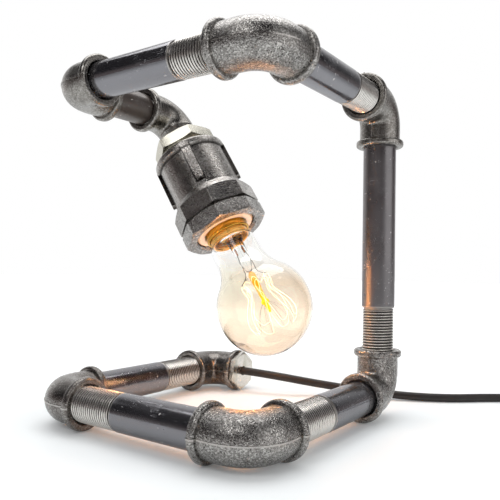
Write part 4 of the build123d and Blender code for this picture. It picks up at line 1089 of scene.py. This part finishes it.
# ---- mains cord: one line from the gland through the hand switch to the plug -------------
COIL_X = 0.23085
COIL_Y = 0.040
CORD_R = 0.0029
# radii of the coil's three rings, and heights of its three layers
OUTER, MIDDLE, INNER = 0.03785, 0.0320, 0.02615
LOW, HIGH, TOP = 0.00295, 0.00880, 0.01465
# the route has the same points as the cord's solids
cord_start = [
    (-0.0400, 0.0735, 0.0154),
    (-0.0170, 0.0735, 0.0154),
    (0.0170, 0.0980, 0.0082),
    (0.0620, 0.1180, 0.0036),
    (0.0960, 0.1345, 0.00295),
    (0.1240, 0.1620, 0.00295),
    (0.1500, 0.1790, 0.00295),
    (0.1680, 0.1798, 0.0046),
    (0.1840, 0.1713, 0.0072),
    (0.1930, 0.1560, 0.0085),
    (0.1930, 0.1380, 0.0085),
    (0.1930, 0.0760, 0.0085),
    (0.1930, 0.0640, 0.0085),
    (0.1930, 0.0500, 0.0044),
]
cord_end = [
    (0.26285, 0.0520, 0.01525),
    (0.26285, 0.0660, 0.0185),
    (0.26285, 0.0800, 0.0185),
]
# turn reached, distance from the coil's middle and height there
windings = (
    (0.00, OUTER, LOW),
    (0.84, OUTER, LOW),
    (0.95, MIDDLE, LOW),
    (1.84, MIDDLE, LOW),
    (1.95, INNER, LOW),
    (2.72, INNER, LOW),
    (2.83, INNER, HIGH),
    (3.60, INNER, HIGH),
    (3.71, MIDDLE, HIGH),
    (4.60, MIDDLE, HIGH),
    (4.71, OUTER, HIGH),
    (5.48, OUTER, HIGH),
    (5.59, OUTER, TOP),
    (6.05, OUTER, TOP),
    (6.40, MIDDLE, TOP),
    (6.50, MIDDLE, TOP),
)
POINTS_A_TURN = 18
TURNS = 6.5
# the curve runs a little inside its points, so they stand a little further out
outside = math.cos(math.pi / POINTS_A_TURN) ** 0.5
coil = []
for step in range(round(TURNS * POINTS_A_TURN) + 1):
    wound = step / POINTS_A_TURN
    for (before, radius_a, height_a), (after, radius_b, height_b) in zip(windings, windings[1:]):
        if before <= wound <= after:
            share = (wound - before) / (after - before)
            share = share * share * (3 - 2 * share)
            radius = (radius_a + (radius_b - radius_a) * share) / outside
            height = height_a + (height_b - height_a) * share
    angle = math.pi + 2 * math.pi * wound
    coil.append((COIL_X + radius * math.cos(angle), COIL_Y + radius * math.sin(angle), height))

cord_line = bpy.data.curves.new("mains_cord_line", "CURVE")
cord_line.dimensions = "3D"
spline = cord_line.splines.new("NURBS")
cord_points = cord_start + coil + cord_end
spline.points.add(len(cord_points) - 1)
for point, spot in zip(spline.points, cord_points):
    point.co = (*spot, 1.0)
spline.order_u = 3
spline.use_endpoint_u = True
cord_line.resolution_u = 8
cord_line.bevel_depth = CORD_R
cord_line.bevel_resolution = 5
cord_line.use_fill_caps = True
cord = bpy.data.objects.new("mains_cord_whole", cord_line)
bpy.context.scene.collection.objects.link(cord)
cord.data.materials.append(cord_sheath)
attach(cord, "base")
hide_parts("mains_cord", "switch_cord", "plug_cord", "cord_coil")

# ======================================================================================
# studio
# ======================================================================================
bpy.ops.mesh.primitive_plane_add(size=8.0, location=(0, 0, 0))
floor = bpy.context.object
floor.name = "floor"
# the floor glows a little more the further it is from the lamp, so that it fades into white,
# and less of that glow is seen through glass or mirrored in metal
GLOW_FROM, GLOW_TO = 0.14, 0.60
GLOW_NEAR, GLOW_FAR = 0.09, 0.80
THROUGH_GLASS = 0.7
IN_METAL = 0.3
floor_paint, tree, shader = new_material("floor_paint", Roughness=0.55)
tone = noise(tree, object_spot(tree), 3.0, 2.0)
paint = mixed(tree, tone, (0.875, 0.91, 0.915), (0.91, 0.935, 0.94))
tree.links.new(paint, shader.inputs["Base Color"])
path = add(tree, "LightPath").outputs
through = math_of(tree, "MULTIPLY", path["Is Transmission Ray"], THROUGH_GLASS)
mirrored = math_of(tree, "MULTIPLY", path["Is Glossy Ray"], IN_METAL)
seen = math_of(tree, "MAXIMUM", path["Is Camera Ray"], math_of(tree, "MAXIMUM", mirrored, through))
away = add(tree, "VectorMath", {0: object_spot(tree)}, operation="LENGTH").outputs["Value"]
rising = between(tree, away, GLOW_FROM, GLOW_TO, GLOW_NEAR, GLOW_FAR)
fill = math_of(tree, "MULTIPLY", seen, rising)
lift = add(tree, "Emission", {"Color": (1, 1, 1, 1), "Strength": fill})
both = add(tree, "AddShader", {0: shader.outputs[0], 1: lift.outputs[0]})
tree.links.new(both.outputs[0], tree.nodes["Material Output"].inputs["Surface"])
floor.data.materials.append(floor_paint)

world = bpy.data.worlds.new("studio")
bpy.context.scene.world = world
world.use_nodes = True
tree = world.node_tree
sky = tree.nodes["Background"]
path = add(tree, "LightPath").outputs
seen = math_of(tree, "MAXIMUM", path["Is Camera Ray"], path["Is Transmission Ray"])
direction = add(tree, "SeparateXYZ", {0: add(tree, "TexCoord").outputs["Generated"]}).outputs
# a white wall stands behind the lamp, and the rest of the room is dim
WALL_X, WALL_Y = -0.55, 0.82
WHITE = (1.0, 1.0, 1.0)
ROOM_LOW = (0.27, 0.23, 0.225)
ROOM_HIGH = (0.030, 0.028, 0.031)
ROOM_LIGHT = (0.42, 0.42, 0.43)
to_back = math_of(tree, "MULTIPLY", direction["Y"], WALL_Y)
behind = math_of(tree, "MULTIPLY_ADD", direction["X"], WALL_X, to_back)
wall = between(tree, behind, 0.42, 0.78)
ceiling = between(tree, direction["Z"], 0.02, 0.32)
unlit = mixed(tree, ceiling, ROOM_LOW, ROOM_HIGH)
room = mixed(tree, wall, unlit, WHITE)
mirror = mixed(tree, path["Is Glossy Ray"], ROOM_LIGHT, room)
tree.links.new(mixed(tree, seen, mirror, WHITE), sky.inputs["Color"])
sky.inputs["Strength"].default_value = 1.0


def softbox(name, spot, target, width, height, power):
    """White studio area lamp aimed at a point."""
    data = bpy.data.lights.new(name, "AREA")
    data.shape = "RECTANGLE"
    data.size, data.size_y = width, height
    data.energy = power
    lamp = bpy.data.objects.new(name, data)
    bpy.context.scene.collection.objects.link(lamp)
    lamp.location = spot
    lamp.rotation_euler = (Vector(target) - Vector(spot)).to_track_quat("-Z", "Y").to_euler()


# name, place, aim, width and height in metres, and watts
softbox("overhead", (-0.14, 0.15, 1.08), (0, 0, 0.05), 1.20, 0.85, 8.8)
softbox("left_wall", (-1.00, -0.12, 0.42), (0, 0, 0.10), 0.60, 0.75, 0.6)
softbox("right_wall", (1.00, 0.10, 0.45), (0, 0, 0.10), 1.05, 0.80, 3.0)
softbox("front_high", (0.05, -0.85, 0.85), (0, 0, 0.12), 0.70, 0.36, 2.5)

# light of the filament, without sharp glints of its own inside the glass
bulb_light = bpy.data.lights.new("bulb_light", "POINT")
bulb_light.energy = 0.16
bulb_light.color = (1.0, 0.44, 0.18)
bulb_light.shadow_soft_size = 0.029
bulb_light.cycles.use_multiple_importance_sampling = False
bulb_lamp = bpy.data.objects.new("bulb_light", bulb_light)
bpy.context.scene.collection.objects.link(bulb_lamp)
bulb_lamp.location = head_point(0, 0, 0.152)
bulb_lamp.visible_transmission = False
bulb_lamp.parent = frame["bodies"]["head"]

bpy.context.scene.view_settings.view_transform = "Standard"
